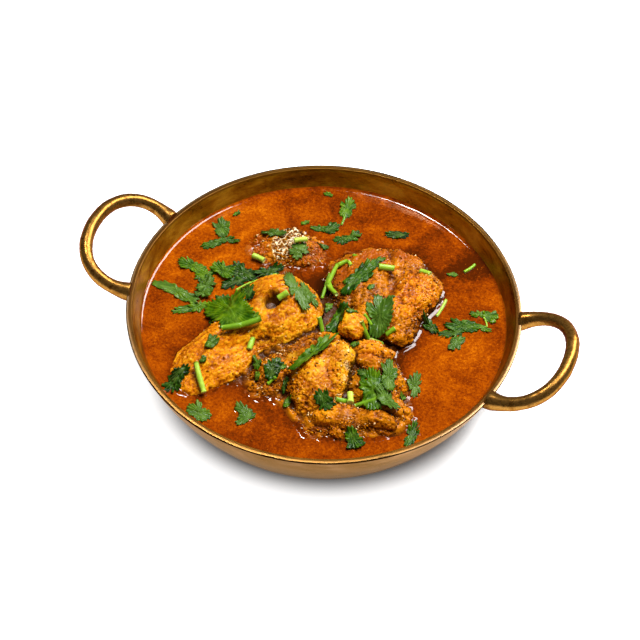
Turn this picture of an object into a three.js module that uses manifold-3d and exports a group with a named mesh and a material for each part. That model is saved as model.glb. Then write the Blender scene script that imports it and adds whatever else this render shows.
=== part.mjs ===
// A chicken curry served in its two-handled bronze bowl. Millimetres, +Z up.
// The origin is the middle of the flat foot, on the table. The handles lie along X.

import * as THREE from 'three';
import { mergeVertices } from 'three/addons/utils/BufferGeometryUtils.js';
import Module from 'manifold-3d';

const wasm = await Module();
wasm.setup();

// ---------------------------------------------------------------- driving dimensions

const RIM_RADIUS = 100;            // outer edge of the lip
const RIM_HEIGHT = 50;             // top of the lip above the table
const WALL = 3;                    // thickness of the bronze
const WALL_ARC = 148;              // radius of the arc that the outer wall follows
const WALL_LEAN = 18 * Math.PI / 180;     // how far the wall faces down at the lip
const LIP_ROUND = 0.5;
const FOOT_RADIUS = 66;            // flat ring that stands on the table
const FLOOR = 2.6;                 // inner floor above the table
const SIDES = 60;                  // facets round the bowl

const LEVEL = 38.85;               // surface of the gravy
const GAP = 0.42;                  // clearance between pieces that touch

const HANDLE_RADIUS = 3.5;
const HANDLE_FLARE = 1.3;          // extra radius where the handle meets the wall
const HANDLE_TILT = 22 * Math.PI / 180;   // how far the loop rises
const HANDLE_ROOT = { x: 90.3, drop: 4.3, spread: 24.3 };
const HANDLE_SPLAY = 29.7 * Math.PI / 180;
const HANDLE_REACH = 39.5;         // from its root to the outermost bend
const HANDLE_PULL = [24.8, 25.2];  // handle lengths of the bend's control points

const STEM_SIDES = 8;
const STUCK_SIDES = 6;             // facets round a bit that is fused to what it lies on
const LEAF_THICKNESS = 0.5;
const LEAF_GAP = 0.5;              // air under a leaf or a stem
const LEAF_STEP = 1.5;             // one more leaf underneath
const LEAF_STALK = 0.9;            // diameter of the stalk between two leaflets
const LEAF_FALL = 0.5;             // steepest fall of a leaf from its middle to its edge

const BRONZE = new THREE.MeshStandardMaterial({ color: 0xa87c4a, roughness: 0.4, metalness: 1 });
const BRASS = new THREE.MeshStandardMaterial({ color: 0xb8852e, roughness: 0.3, metalness: 1 });
const GRAVY = new THREE.MeshStandardMaterial({ color: 0xb34e0e, roughness: 0.25, metalness: 0 });
const GOLDEN = new THREE.MeshStandardMaterial({ color: 0xe0902c, roughness: 0.5, metalness: 0 });
const MASALA = new THREE.MeshStandardMaterial({ color: 0xa8601c, roughness: 0.5, metalness: 0 });
const LEAF = new THREE.MeshStandardMaterial({ color: 0x3c7a1c, roughness: 0.5, metalness: 0 });
const STEM = new THREE.MeshStandardMaterial({ color: 0xa5c83c, roughness: 0.45, metalness: 0 });

// ---------------------------------------------------------------- geometry helpers

// Moves every vertex of a three.js geometry by a function and closes its seams.
function reshape(geometry, move) {
  geometry.deleteAttribute('normal');
  geometry.deleteAttribute('uv');
  const points = geometry.getAttribute('position');
  const p = new THREE.Vector3();
  for (let i = 0; i < points.count; i++) {
    p.fromBufferAttribute(points, i);
    move(p);
    points.setXYZ(i, p.x, p.y, p.z);
  }
  return mergeVertices(geometry, 1e-4);
}

function toSolid(geometry) {
  const mesh = new wasm.Mesh({
    numProp: 3,
    vertProperties: new Float32Array(geometry.getAttribute('position').array),
    triVerts: new Uint32Array(geometry.getIndex().array),
  });
  return new wasm.Manifold(mesh);
}

function toGeometry(solid) {
  const mesh = solid.getMesh();
  const geometry = new THREE.BufferGeometry();
  geometry.setAttribute('position', new THREE.BufferAttribute(mesh.vertProperties, 3));
  geometry.setIndex(new THREE.BufferAttribute(mesh.triVerts, 1));
  return geometry;
}

// A solid of revolution about Z from a profile of [radius, height] points.
function revolve(profile, sides) {
  const points = profile.map(([r, z]) => new THREE.Vector2(r, z));
  const geometry = new THREE.LatheGeometry(points, sides);
  geometry.rotateX(Math.PI / 2);
  return reshape(geometry, () => {});
}

const curry = new THREE.Group();
curry.name = 'chicken_curry';

function place(name, geometry, material) {
  geometry.computeVertexNormals();
  const mesh = new THREE.Mesh(geometry, material);
  mesh.name = name;
  curry.add(mesh);
}

// ---------------------------------------------------------------- bowl

const ARC_CENTRE = [
  RIM_RADIUS - WALL_ARC * Math.cos(WALL_LEAN),
  RIM_HEIGHT + WALL_ARC * Math.sin(WALL_LEAN),
];

// Radius, at height z, of the arc that lies `inset` inside the outer wall.
function wallRadius(z, inset) {
  const rise = ARC_CENTRE[1] - z;
  return ARC_CENTRE[0] + Math.sqrt((WALL_ARC - inset) ** 2 - rise ** 2);
}

function arcPoints(heights, inset) {
  return heights.map((z) => [wallRadius(z, inset), z]);
}

const OUTER_HEIGHTS = [2.2, 12, 24, 37, RIM_HEIGHT - LIP_ROUND];
const INNER_HEIGHTS = [5, 15, 28, LEVEL, RIM_HEIGHT - LIP_ROUND];
const FLOOR_EDGE = [68.5, 0.5];    // radius and rise of the floor's rounded edge

function bowlProfile() {
  return [
    [0, 0],
    [FOOT_RADIUS, 0],
    [FOOT_RADIUS + 4.6, 0.5],
    ...arcPoints(OUTER_HEIGHTS, 0),
    [RIM_RADIUS - LIP_ROUND, RIM_HEIGHT],
    [RIM_RADIUS - WALL + LIP_ROUND / 2, RIM_HEIGHT],
    ...arcPoints(INNER_HEIGHTS, WALL).reverse(),
    [FLOOR_EDGE[0], FLOOR + FLOOR_EDGE[1]],
    [0, FLOOR],
  ];
}

// ---------------------------------------------------------------- handles

// The wall and all that is inside it, a gap larger, for cutting off the handles' roots.
function wallCutter() {
  return toSolid(revolve([[0, 0], ...arcPoints([0, 20, 34, 42, 50, 58], -GAP), [0, 58]], SIDES));
}

// One loop in its own plane: two mirrored Bezier bends between its roots.
function loopPath() {
  const { spread } = HANDLE_ROOT;
  const [pullRoot, pullTop] = HANDLE_PULL;
  const toSpace = (reach, across) => new THREE.Vector3(
    HANDLE_ROOT.x + reach * Math.cos(HANDLE_TILT),
    across,
    RIM_HEIGHT - HANDLE_ROOT.drop + reach * Math.sin(HANDLE_TILT),
  );
  const splay = [pullRoot * Math.cos(HANDLE_SPLAY), spread + pullRoot * Math.sin(HANDLE_SPLAY)];
  const path = new THREE.CurvePath();
  path.add(new THREE.CubicBezierCurve3(
    toSpace(0, spread), toSpace(splay[0], splay[1]),
    toSpace(HANDLE_REACH, pullTop), toSpace(HANDLE_REACH, 0),
  ));
  path.add(new THREE.CubicBezierCurve3(
    toSpace(HANDLE_REACH, 0), toSpace(HANDLE_REACH, -pullTop),
    toSpace(splay[0], -splay[1]), toSpace(0, -spread),
  ));
  return path;
}

// A rod bent along the loop, thicker towards both roots.
function handleSolid() {
  const path = loopPath();
  const length = path.getLength();
  const planeNormal = new THREE.Vector3(-Math.sin(HANDLE_TILT), 0, Math.cos(HANDLE_TILT));
  const wallDepth = 6;             // length of rod that the wall hides
  const flareLength = 7;
  const rod = new THREE.CylinderGeometry(1, 1, 1, 10, 30);
  const bent = reshape(rod, (p) => {
    const t = THREE.MathUtils.clamp(p.y + 0.5, 0, 1);
    const fromEnd = Math.max(0, Math.min(t, 1 - t) * length - wallDepth);
    const radius = HANDLE_RADIUS + HANDLE_FLARE * Math.exp(-((fromEnd / flareLength) ** 2));
    const middle = path.getPointAt(t);
    const sideways = path.getTangentAt(t).cross(planeNormal).normalize();
    p.copy(middle.addScaledVector(sideways, radius * p.x).addScaledVector(planeNormal, radius * p.z));
  });
  return toSolid(bent).subtract(wallCutter());
}

// ---------------------------------------------------------------- chicken pieces

// Each piece is a dome over a closed outline, sunk in the gravy.
//   at       middle, seen from above
//   radii    distance from the middle to the outline, evenly spaced from +X towards +Y
//   base     height of the widest outline above the gravy
//   rise     height of the dome over its base        keel    depth under it
//   tilt     slope of the piece along X and Y        square  2 is round, more is boxier
//   lumps    [x, y, radius, height] bulges and dents, from the middle
//   creases  [x, y, x, y, width, depth] folds between two points, from the middle
//   facets   [round it, over its top]
// A piece gives way to those above it in the list.
const PIECES = [
  {
    name: 'chicken_cube',
    material: GOLDEN,
    at: [17.5, -8], base: 7, rise: 6.5, keel: 7, tilt: [0, 0.15], square: 3.2,
    radii: [6, 6.5, 7, 7.5, 7, 6, 5.5, 5, 6, 6.5, 6.5, 6],
    lumps: [],
    creases: [],
    facets: [12, 4],
  },
  {
    name: 'chicken_breast',
    material: GOLDEN,
    at: [-30, -28], base: 2, rise: 7, keel: 11, tilt: [0.03, 0.07], square: 2.3,
    radii: [18.5, 29, 40, 43.5, 41.5, 31, 22, 19.5, 20.5, 26.5, 42, 47, 31.5, 19.5, 12.5, 13],
    lumps: [[8, 28, 20, 11], [6, 15, 4, -5], [-12, -22, 10, 1.5]],
    creases: [[-10, -16, 10, -2, 3.5, 3]],
    facets: [36, 9],
  },
  {
    name: 'chicken_front',
    material: GOLDEN,
    at: [13, -41], base: 1, rise: 11, keel: 10, tilt: [0.05, 0.16], square: 3.4,
    radii: [15.5, 15.5, 20, 20.5, 13.5, 13, 16, 16.5, 18.5, 22.5, 19.5, 17.5],
    lumps: [[8, 8, 6, 1.5], [-6, -6, 8, 1], [10, -8, 5, -2]],
    creases: [],
    facets: [28, 7],
  },
  {
    name: 'chicken_thigh',
    material: MASALA,
    at: [25, 22], base: 0, rise: 10, keel: 11, tilt: [0.05, -0.02], square: 2.6,
    radii: [24.5, 27.5, 29.5, 31, 32.5, 35, 36.5, 36.5, 31.5, 26.5, 22.5, 21.5, 23.5, 29, 28, 25],
    lumps: [[14, 6, 10, 3], [-14, 12, 9, 1.5], [-2, 4, 6, -2], [10, -16, 8, 2]],
    creases: [[0, -22, 4, 26, 4, 3]],
    facets: [32, 8],
  },
  {
    name: 'chicken_right',
    material: MASALA,
    at: [37, -30], base: 0, rise: 9, keel: 10, tilt: [-0.05, 0.12], square: 2.6,
    radii: [16, 12.5, 13.5, 17, 20.5, 21.5, 13.5, 13.5, 17.5, 19.5, 18.5, 20],
    lumps: [[-6, 8, 7, 2], [6, -6, 6, 1.5]],
    creases: [],
    facets: [24, 6],
  },
  {
    name: 'chicken_middle',
    material: MASALA,
    at: [-5, -37], base: 0, rise: 7, keel: 10, tilt: [0.05, 0.1], square: 2.6,
    radii: [11, 20, 27.5, 15, 10, 10.5, 13.5, 21, 24.5, 20, 11.5, 10.5],
    lumps: [[6, 8, 6, 1.5], [-8, -8, 6, 1]],
    creases: [],
    facets: [24, 6],
  },
  {
    name: 'chicken_lower',
    material: MASALA,
    at: [36, -57], base: 0, rise: 6, keel: 10, tilt: [0, 0.06], square: 2.6,
    radii: [20, 27, 14.5, 10, 7.5, 10, 17, 26, 14.5, 8.5, 8.5, 10],
    lumps: [[-10, 0, 5, 1.5], [2, 0, 5, -1.5], [12, 6, 6, 1.5]],
    creases: [],
    facets: [26, 6],
  },
  {
    name: 'chicken_sunken',
    material: MASALA,
    at: [-35, 38], base: -2, rise: 6, keel: 9, tilt: [0.05, 0], square: 2.2,
    radii: [21, 18, 16.5, 16, 15, 16, 19.5, 20.5, 17, 13.5, 13, 17.5],
    lumps: [[8, 0, 9, 1.5], [-8, 2, 6, 0.5], [-2, 0, 4, -1.5]],
    creases: [],
    facets: [24, 6],
  },
];

// The outline's radius at an angle: a smooth closed curve through the radii.
function outlineRadius(radii, angle) {
  const n = radii.length;
  const turn = (angle / (2 * Math.PI)) * n;
  const i = Math.floor(turn);
  const f = turn - i;
  const [a, b, c, d] = [-1, 0, 1, 2].map((k) => radii[(((i + k) % n) + n) % n]);
  return b + 0.5 * f * (c - a + f * (2 * a - 5 * b + 4 * c - d + f * (3 * (b - c) + d - a)));
}

// Bulges add and creases take away, both fading off as a bell curve.
function relief(piece, x, y) {
  let height = 0;
  for (const [lumpX, lumpY, radius, rise] of piece.lumps) {
    height += rise * Math.exp(-((x - lumpX) ** 2 + (y - lumpY) ** 2) / radius ** 2);
  }
  for (const [x0, y0, x1, y1, width, depth] of piece.creases) {
    const [ux, uy] = [x1 - x0, y1 - y0];
    const along = ((x - x0) * ux + (y - y0) * uy) / (ux * ux + uy * uy);
    const t = THREE.MathUtils.clamp(along, 0, 1);
    const away2 = (x - x0 - t * ux) ** 2 + (y - y0 - t * uy) ** 2;
    height -= depth * Math.exp(-away2 / width ** 2);
  }
  return height;
}

// Height of a piece's upper surface at a point, or -Infinity beside it.
function topOf(piece, x, y) {
  const [dx, dy] = [x - piece.at[0], y - piece.at[1]];
  const share = Math.hypot(dx, dy) / outlineRadius(piece.radii, Math.atan2(dy, dx));
  if (share >= 1) return -Infinity;
  const dome = piece.rise * (1 - share ** piece.square) ** (1 / piece.square);
  const slope = piece.tilt[0] * dx + piece.tilt[1] * dy;
  return LEVEL + piece.base + slope + dome + relief(piece, dx, dy) * (1 - share ** 4);
}

// The closed dome, `grow` larger all round. Its rings are spread over the top and the keel.
function pieceSolid(piece, grow) {
  const [round, over] = piece.facets;
  const rings = over + 2;
  const dome = new THREE.SphereGeometry(1, round, rings);
  dome.rotateX(Math.PI / 2);
  const shape = reshape(dome, (p) => {
    const angle = Math.atan2(p.y, p.x);
    const ring = (Math.acos(THREE.MathUtils.clamp(p.z, -1, 1)) / Math.PI) * rings;
    const quarter = ring <= over ? ring / over : 1 + (ring - over) / (rings - over);
    const share = Math.abs(Math.sin(quarter * Math.PI / 2)) ** (2 / piece.square);
    const crown = Math.abs(Math.cos(quarter * Math.PI / 2)) ** (2 / piece.square);
    const reach = share * (outlineRadius(piece.radii, angle) + grow);
    const [dx, dy] = [reach * Math.cos(angle), reach * Math.sin(angle)];
    const height = quarter <= 1
      ? (piece.rise + grow) * crown + relief(piece, dx, dy) * (1 - share ** 4)
      : -(piece.keel + grow) * crown;
    const slope = piece.tilt[0] * dx + piece.tilt[1] * dy;
    p.set(piece.at[0] + dx, piece.at[1] + dy, LEVEL + piece.base + slope + height);
  });
  return toSolid(shape);
}

// ---------------------------------------------------------------- coriander

// Highest thing under a point: the gravy or a piece of chicken.
function support(x, y) {
  return Math.max(LEVEL, ...PIECES.map((piece) => topOf(piece, x, y)));
}

// Leaf shapes: how boxy, how much narrower at the stalk, teeth and their depth.
const FAN = { square: 2, narrow: 0.45, teeth: 9, depth: 0.3 };
const FRILL = { square: 2, narrow: 0.3, teeth: 7, depth: 0.34 };
const BLADE = { square: 3.5, narrow: 0.1, teeth: 7, depth: 0.14 };

// One leaf is one or more leaflets: [shape, x, y, heading in degrees, length, width, level,
// lift of the tip]. The level counts the leaves that lie underneath.
const LEAVES = [
  [[FAN, -72.4, 39.4, 126, 11.3, 8.5, 0, 0.5]],
  [[BLADE, -72.3, 26.6, -128, 11.5, 4.5, 0, 0], [FRILL, -66, 32.1, 22, 11, 4.5, 0, 0.5]],
  [[FRILL, -44.3, 43.9, -174, 10.9, 6, 0, 1]],
  [[BLADE, -26.4, 34.5, -116, 9.4, 7, 0, 0.5]],
  [[BLADE, -23.5, 57.9, -175, 8.5, 3, 0, 0], [FAN, -18, 60.5, 58, 7.4, 7.5, 0, 0]],
  [[FAN, -15.2, 77.2, 96, 13.2, 8, 0, 0.5]],
  [[FRILL, -9.9, 54.7, -142, 8.5, 5.5, 0, 0], [FRILL, -5.5, 58.8, 39, 8, 5.5, 0, 0.5]],
  [[BLADE, 15.6, 68.4, -158, 10.6, 4.2, 0, 0]],
  [[FAN, -76.2, 8.1, 175, 14.1, 7.5, 0, 1], [FRILL, -67.3, 5.1, -126, 9.1, 5, 0, 0]],
  [[FRILL, -63.7, -2.2, 65, 9, 7, 1, 0], [FRILL, -63, -7.9, 33, 7.5, 5.5, 1, 0.5]],
  [[FAN, -59.9, 10.2, 151, 10.8, 7.5, 1, 0.5]],
  [[FAN, -49.4, 12.7, -173, 13.9, 9, 0, 0], [FRILL, -51.6, 5.7, -136, 11.1, 6, 0, 0]],
  [[BLADE, -37.7, 19.1, -136, 12.9, 5, 0, 1]],
  [[BLADE, -76.4, -11.2, -6, 22.3, 5.5, 0, 0.5]],
  [[BLADE, -69, -21.3, -145, 9.5, 4, 0, 0], [FRILL, -62.3, -16.2, -144, 8.5, 6.5, 0, 0.5]],
  [[FAN, -43, -19.5, 129, 30, 21, 0, 0]],
  [[FRILL, -14.8, -0.2, -48, 24.6, 8.5, 0, 0], [FRILL, -9, 2.3, -39, 14.8, 6, 0, 0]],
  [[BLADE, 10, 25.4, 69, 21.5, 7, 0, 0.5]],
  [[FAN, 8.4, -2.6, -87, 16.9, 8.5, 0, 0.5]],
  [[FAN, 28.2, 4.6, 112, 21.3, 12, 0, 1]],
  [[BLADE, 52.5, 14, 152, 10, 4.5, 0.4, 0.5]],
  [[FAN, 67.1, 20.6, -168, 15.9, 8, 0, 1], [BLADE, 63.4, 13.9, -146, 12.2, 3.5, 0, 0]],
  [[FRILL, 67.9, 8.9, -116, 8.8, 6.5, 0, 0.5]],
  [[FRILL, 73.1, 31.4, -159, 8, 4, 0, 0.5], [FAN, 78.9, 32, 11, 7.2, 7.5, 0, 0]],
  [[FRILL, 57.2, -25.2, 106, 11.5, 5.5, 0, 1]],
  [[FAN, 40.4, -41.5, 116, 20, 11, 0, 0]],
  [[FAN, 45.2, -31.7, 107, 16.4, 7, 1, 1]],
  [[BLADE, 49.6, -45, -39, 13, 6.5, 1.6, 0]],
  [[FRILL, 65.6, -54.1, 91, 12.9, 4.5, 0, 1]],
  [[FAN, 40.4, -68.2, -48, 9, 8, 0.3, 0.5]],
  [[BLADE, 20.9, -56.6, -33, 9.8, 6.5, 0, 0]],
  [[BLADE, 6.1, -32.6, 69, 26.9, 6.5, 0.5, 0]],
  [[FAN, -10, -45.6, 95, 10.6, 8.5, 0, 0.5]],
  [[FAN, -44.5, -41.4, 78, 7.8, 5, 0.3, 0]],
  [[FRILL, -53.4, -62.4, -115, 9.3, 7.5, 0, 0], [FRILL, -54, -68.2, -103, 9, 7.5, 0, 0.5]],
  [[FAN, -35.9, -79.3, 156, 12.1, 8.5, 0, 0.5]],
  [[BLADE, -15.1, -70.2, 157, 9.7, 4.5, 0, 0.5], [BLADE, -13.4, -74.5, -123, 8.4, 4.5, 0, 0]],
];

// Distance from a leaflet's middle to its toothed edge, at an angle from its heading.
function leafRadius(shape, length, width, angle) {
  const forward = Math.abs(Math.cos(angle) / (length / 2)) ** shape.square;
  const across = Math.abs(Math.sin(angle) / (width / 2)) ** shape.square;
  const oval = (forward + across) ** (-1 / shape.square);
  const stalkward = Math.sin(angle) ** 2 * (1 - Math.cos(angle)) / 2;
  const tooth = 0.5 - 0.5 * Math.cos(shape.teeth * angle);
  return oval * (1 - shape.narrow * stalkward) * (1 - shape.depth * tooth);
}

// Lowest height for a leaf's edge that keeps the straight line to it from the middle clear.
function edgeHeight(middle, middleHeight, edge, air) {
  let height = middleHeight - LEAF_FALL * Math.hypot(edge[0] - middle[0], edge[1] - middle[1]);
  for (const share of [0.2, 0.4, 0.6, 0.8, 1]) {
    const x = middle[0] + share * (edge[0] - middle[0]);
    const y = middle[1] + share * (edge[1] - middle[1]);
    height = Math.max(height, middleHeight + (support(x, y) + air - middleHeight) / share);
  }
  return height;
}

// A thin disc whose rim follows the toothed outline, draped on what lies under it.
function leafletSolid([shape, x, y, headingDegrees, length, width, level, lift]) {
  const heading = THREE.MathUtils.degToRad(headingDegrees);
  const air = LEAF_GAP + level * LEAF_STEP;
  const middleHeight = support(x, y) + air;
  const disc = new THREE.CylinderGeometry(1, 1, 1, 2 * shape.teeth, 1);
  disc.rotateX(Math.PI / 2);
  const leaflet = reshape(disc, (p) => {
    const face = p.z > 0 ? LEAF_THICKNESS : 0;
    if (Math.hypot(p.x, p.y) < 0.5) {
      p.set(x, y, middleHeight + face);
      return;
    }
    const angle = Math.atan2(p.x, -p.y);
    const radius = leafRadius(shape, length, width, angle);
    const edge = [x + radius * Math.cos(heading + angle), y + radius * Math.sin(heading + angle)];
    const tipward = Math.max(0, radius * Math.cos(angle) / (length / 2));
    const height = edgeHeight([x, y], middleHeight, edge, air) + lift * tipward;
    p.set(edge[0], edge[1], height + face);
  });
  return toSolid(leaflet);
}

// Chopped stalks: runs of [x, y] points with a diameter; `level` as for leaves.
const STEMS = [
  { path: [[-48.9, 25.4], [-42.1, 23.9]], diameter: 3, level: 0 },
  { path: [[-30.5, 37.2], [-24.7, 41]], diameter: 2.6, level: 1 },
  { path: [[-20.8, -11.2], [-16.9, -7.5]], diameter: 3.2, level: 0 },
  { path: [[-41.7, -34.4], [-33.2, -30.4], [-24.7, -24.4]], diameter: 3, level: 1.4 },
  { path: [[-46.4, -57], [-37.2, -69]], diameter: 2.8, level: 0 },
  { path: [[17.3, 33.2], [24.8, 36.5]], diameter: 3.2, level: 0 },
  { path: [[12.8, 2.6], [20.3, 0.8]], diameter: 3, level: 0 },
  { path: [[29.9, -13.8], [33.4, -7.2]], diameter: 3, level: 0 },
  { path: [[30.3, -45.4], [32.7, -51.5]], diameter: 3.2, level: 0 },
  { path: [[0.2, 34.9], [-3.9, 31], [-4.8, 18.6], [2.4, 12.2]], diameter: 2.2, level: 0 },
];

// A straight round rod between two points.
function rodSolid(from, to, radius, sides) {
  const rod = new THREE.CylinderGeometry(radius, radius, from.distanceTo(to), sides);
  const turn = new THREE.Quaternion();
  turn.setFromUnitVectors(new THREE.Vector3(0, 1, 0), to.clone().sub(from).normalize());
  rod.applyQuaternion(turn);
  const middle = from.clone().add(to).multiplyScalar(0.5);
  rod.translate(middle.x, middle.y, middle.z);
  return toSolid(reshape(rod, () => {}));
}

// Lowest height for the axis of a round stalk over a point, with the stalk along [ux, uy].
function axisHeight(x, y, [ux, uy], radius) {
  const heights = [-1, -0.5, 0, 0.5, 1].map((side) => {
    const under = support(x - side * radius * uy, y + side * radius * ux);
    return under + radius * Math.sqrt(1 - side * side);
  });
  return Math.max(...heights);
}

// A round stalk between two points, resting on what lies under it.
function stalkSolid([x0, y0], [x1, y1], diameter, level) {
  const radius = diameter / 2;
  const air = LEAF_GAP + level * LEAF_STEP;
  const length = Math.hypot(x1 - x0, y1 - y0);
  const along = [(x1 - x0) / length, (y1 - y0) / length];
  const ends = [axisHeight(x0, y0, along, radius), axisHeight(x1, y1, along, radius)];
  let raise = 0;
  for (const share of [0.15, 0.3, 0.5, 0.7, 0.85]) {
    const under = axisHeight(x0 + share * (x1 - x0), y0 + share * (y1 - y0), along, radius);
    raise = Math.max(raise, under - ends[0] - share * (ends[1] - ends[0]));
  }
  const from = new THREE.Vector3(x0, y0, ends[0] + raise + air);
  const to = new THREE.Vector3(x1, y1, ends[1] + raise + air);
  return rodSolid(from, to, radius, STEM_SIDES);
}

// Short bits of stalk, half sunk in what they lie on: [x, y, x, y, diameter].
const STUCK_BITS = [
  [-25.7, -38.3, -26.2, -31.6, 2.8],
  [-9.8, -53.6, -7, -49.3, 1.8],
  [37.8, 41.1, 43.6, 39.3, 2.8],
  [34.7, -4.5, 38.2, -0.7, 2.6],
  [53.3, 22.1, 54.4, 34.6, 1.6],
  [57.2, 56.6, 61, 63.8, 1.6],
  [0.8, 41.5, 6.6, 40.8, 1.8],
  [-14.6, 72, -14, 64.6, 1.4],
  [-0.5, -6.5, 3, -10.5, 2.4],
];

// Name of the piece that is highest under a point.
function ownerOf(x, y) {
  const heights = PIECES.map((piece) => topOf(piece, x, y));
  const highest = Math.max(...heights);
  return highest > LEVEL ? PIECES[heights.indexOf(highest)].name : 'gravy';
}

function addStuckBits(solid, name) {
  for (const [x0, y0, x1, y1, diameter] of STUCK_BITS) {
    if (ownerOf((x0 + x1) / 2, (y0 + y1) / 2) !== name) continue;
    const from = new THREE.Vector3(x0, y0, support(x0, y0));
    const to = new THREE.Vector3(x1, y1, support(x1, y1));
    solid = solid.add(rodSolid(from, to, diameter / 2, STUCK_SIDES));
  }
  return solid;
}

// ---------------------------------------------------------------- the whole dish

place('bowl', revolve(bowlProfile(), SIDES), BRONZE);

const handle = handleSolid();
place('handle_right', toGeometry(handle), BRASS);
place('handle_left', toGeometry(handle.rotate([0, 0, 180])), BRASS);

let gravy = toSolid(revolve([
  [0, FLOOR + GAP],
  [FLOOR_EDGE[0] - GAP, FLOOR + FLOOR_EDGE[1] + GAP],
  ...arcPoints(INNER_HEIGHTS.slice(0, 4), WALL + GAP),
  [0, LEVEL],
], SIDES));

PIECES.forEach((piece, order) => {
  let solid = pieceSolid(piece, 0);
  for (const above of PIECES.slice(0, order)) {
    solid = solid.subtract(pieceSolid(above, GAP));
  }
  gravy = gravy.subtract(pieceSolid(piece, GAP));
  place(piece.name, toGeometry(addStuckBits(solid, piece.name)), piece.material);
});
place('gravy', toGeometry(addStuckBits(gravy, 'gravy')), GRAVY);

// The leaflets of one leaf hang together by a fine stalk from the first of them.
LEAVES.forEach((leaflets, i) => {
  const [[, x, y, , , , level]] = leaflets;
  let solid = leafletSolid(leaflets[0]);
  for (const leaflet of leaflets.slice(1)) {
    const stalk = stalkSolid([x, y], leaflet.slice(1, 3), LEAF_STALK, level);
    solid = solid.add(leafletSolid(leaflet)).add(stalk);
  }
  place(`leaf_${String(i + 1).padStart(2, '0')}`, toGeometry(solid), LEAF);
});

STEMS.forEach(({ path, diameter, level }, i) => {
  const runs = path.slice(1).map((end, k) => stalkSolid(path[k], end, diameter, level));
  const solid = runs.reduce((joined, run) => joined.add(run));
  place(`stem_${String(i + 1).padStart(2, '0')}`, toGeometry(solid), STEM);
});

export default curry;
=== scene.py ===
# %% [markdown]
# # Chicken curry in a two-handled bronze bowl
# A small kadai of turned bronze, 20 cm across, filled to a centimetre below its lip with an
# oily orange gravy. Eight pieces of chicken stand out of it, and chopped coriander lies on top.
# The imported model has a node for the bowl, each handle, the gravy and every larger piece of
# food. It is loaded first, and each piece that is made here stands in for its node.

# %% Load the frame
import itertools
import math

import bpy
import numpy as np
from mathutils import Matrix, Vector


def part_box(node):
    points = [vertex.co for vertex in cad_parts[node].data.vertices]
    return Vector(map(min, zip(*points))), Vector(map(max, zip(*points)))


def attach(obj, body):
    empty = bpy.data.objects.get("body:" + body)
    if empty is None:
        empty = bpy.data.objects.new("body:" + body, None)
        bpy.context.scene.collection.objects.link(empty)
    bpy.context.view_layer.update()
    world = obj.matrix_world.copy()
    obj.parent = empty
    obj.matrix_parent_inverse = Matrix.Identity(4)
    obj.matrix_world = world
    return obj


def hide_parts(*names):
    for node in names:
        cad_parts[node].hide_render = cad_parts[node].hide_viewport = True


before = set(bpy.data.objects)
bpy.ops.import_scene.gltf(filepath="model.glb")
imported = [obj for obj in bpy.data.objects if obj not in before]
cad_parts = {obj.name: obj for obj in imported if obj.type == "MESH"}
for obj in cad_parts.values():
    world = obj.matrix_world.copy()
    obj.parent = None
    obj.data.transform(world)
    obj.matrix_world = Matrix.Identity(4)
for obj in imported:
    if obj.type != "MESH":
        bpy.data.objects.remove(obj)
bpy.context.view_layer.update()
MM = 0.001  # every formula below works in millimetres

# %% [markdown]
# ## Meshes from arrays
# Every piece is a grid of points worked out with numpy. A grid of rows and columns becomes
# quads, and a row may close into a ring. A closed shell needs its faces to point outwards: the
# sign of its volume tells, so the faces are turned if it comes out negative.

# %% Faces of a grid
def grid_quads(rows, columns, ring=True):
    """Quads between neighbouring rows: corner (i, j) is point i * columns + j. With ring the
    last column joins the first one."""
    i = np.arange(rows - 1)[:, None]
    j = np.arange(columns if ring else columns - 1)[None, :]
    after = (j + 1) % columns
    corners = [i * columns + j, (i + 1) * columns + j, (i + 1) * columns + after, i * columns + after]
    return np.stack([np.broadcast_to(c, corners[0].shape) for c in corners], -1).reshape(-1, 4)


def fan(loop, pole):
    """Triangles from a closed loop of point numbers to one pole."""
    loop = np.asarray(loop)
    return np.stack([loop, np.roll(loop, -1), np.full(len(loop), pole)], 1)


def tube_faces(rows, sides):
    """Side quads of a tube and fans to two poles, which are the two points after its rings."""
    first = np.arange(sides)
    last = first + (rows - 1) * sides
    poles = rows * sides
    return [grid_quads(rows, sides), fan(first, poles), fan(last, poles + 1)[:, [1, 0, 2]]]


def outward(points, faces):
    """The same faces, all turned round if their volume is negative. It is the sum of the
    tetrahedra from the origin to each triangle, a . (b x c) / 6, and only its sign matters."""
    volume = 0.0
    for part in faces:
        a = points[part[:, 0]]
        for k in range(1, part.shape[1] - 1):
            volume += np.einsum("ij,ij->", a, np.cross(points[part[:, k]], points[part[:, k + 1]]))
    return [part[:, ::-1] for part in faces] if volume < 0 else faces


# %% From arrays to an object
def add_object(name, data):
    """A new object with its mesh, lamp or camera, put into the scene."""
    made = bpy.data.objects.new(name, data)
    bpy.context.scene.collection.objects.link(made)
    return made


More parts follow.
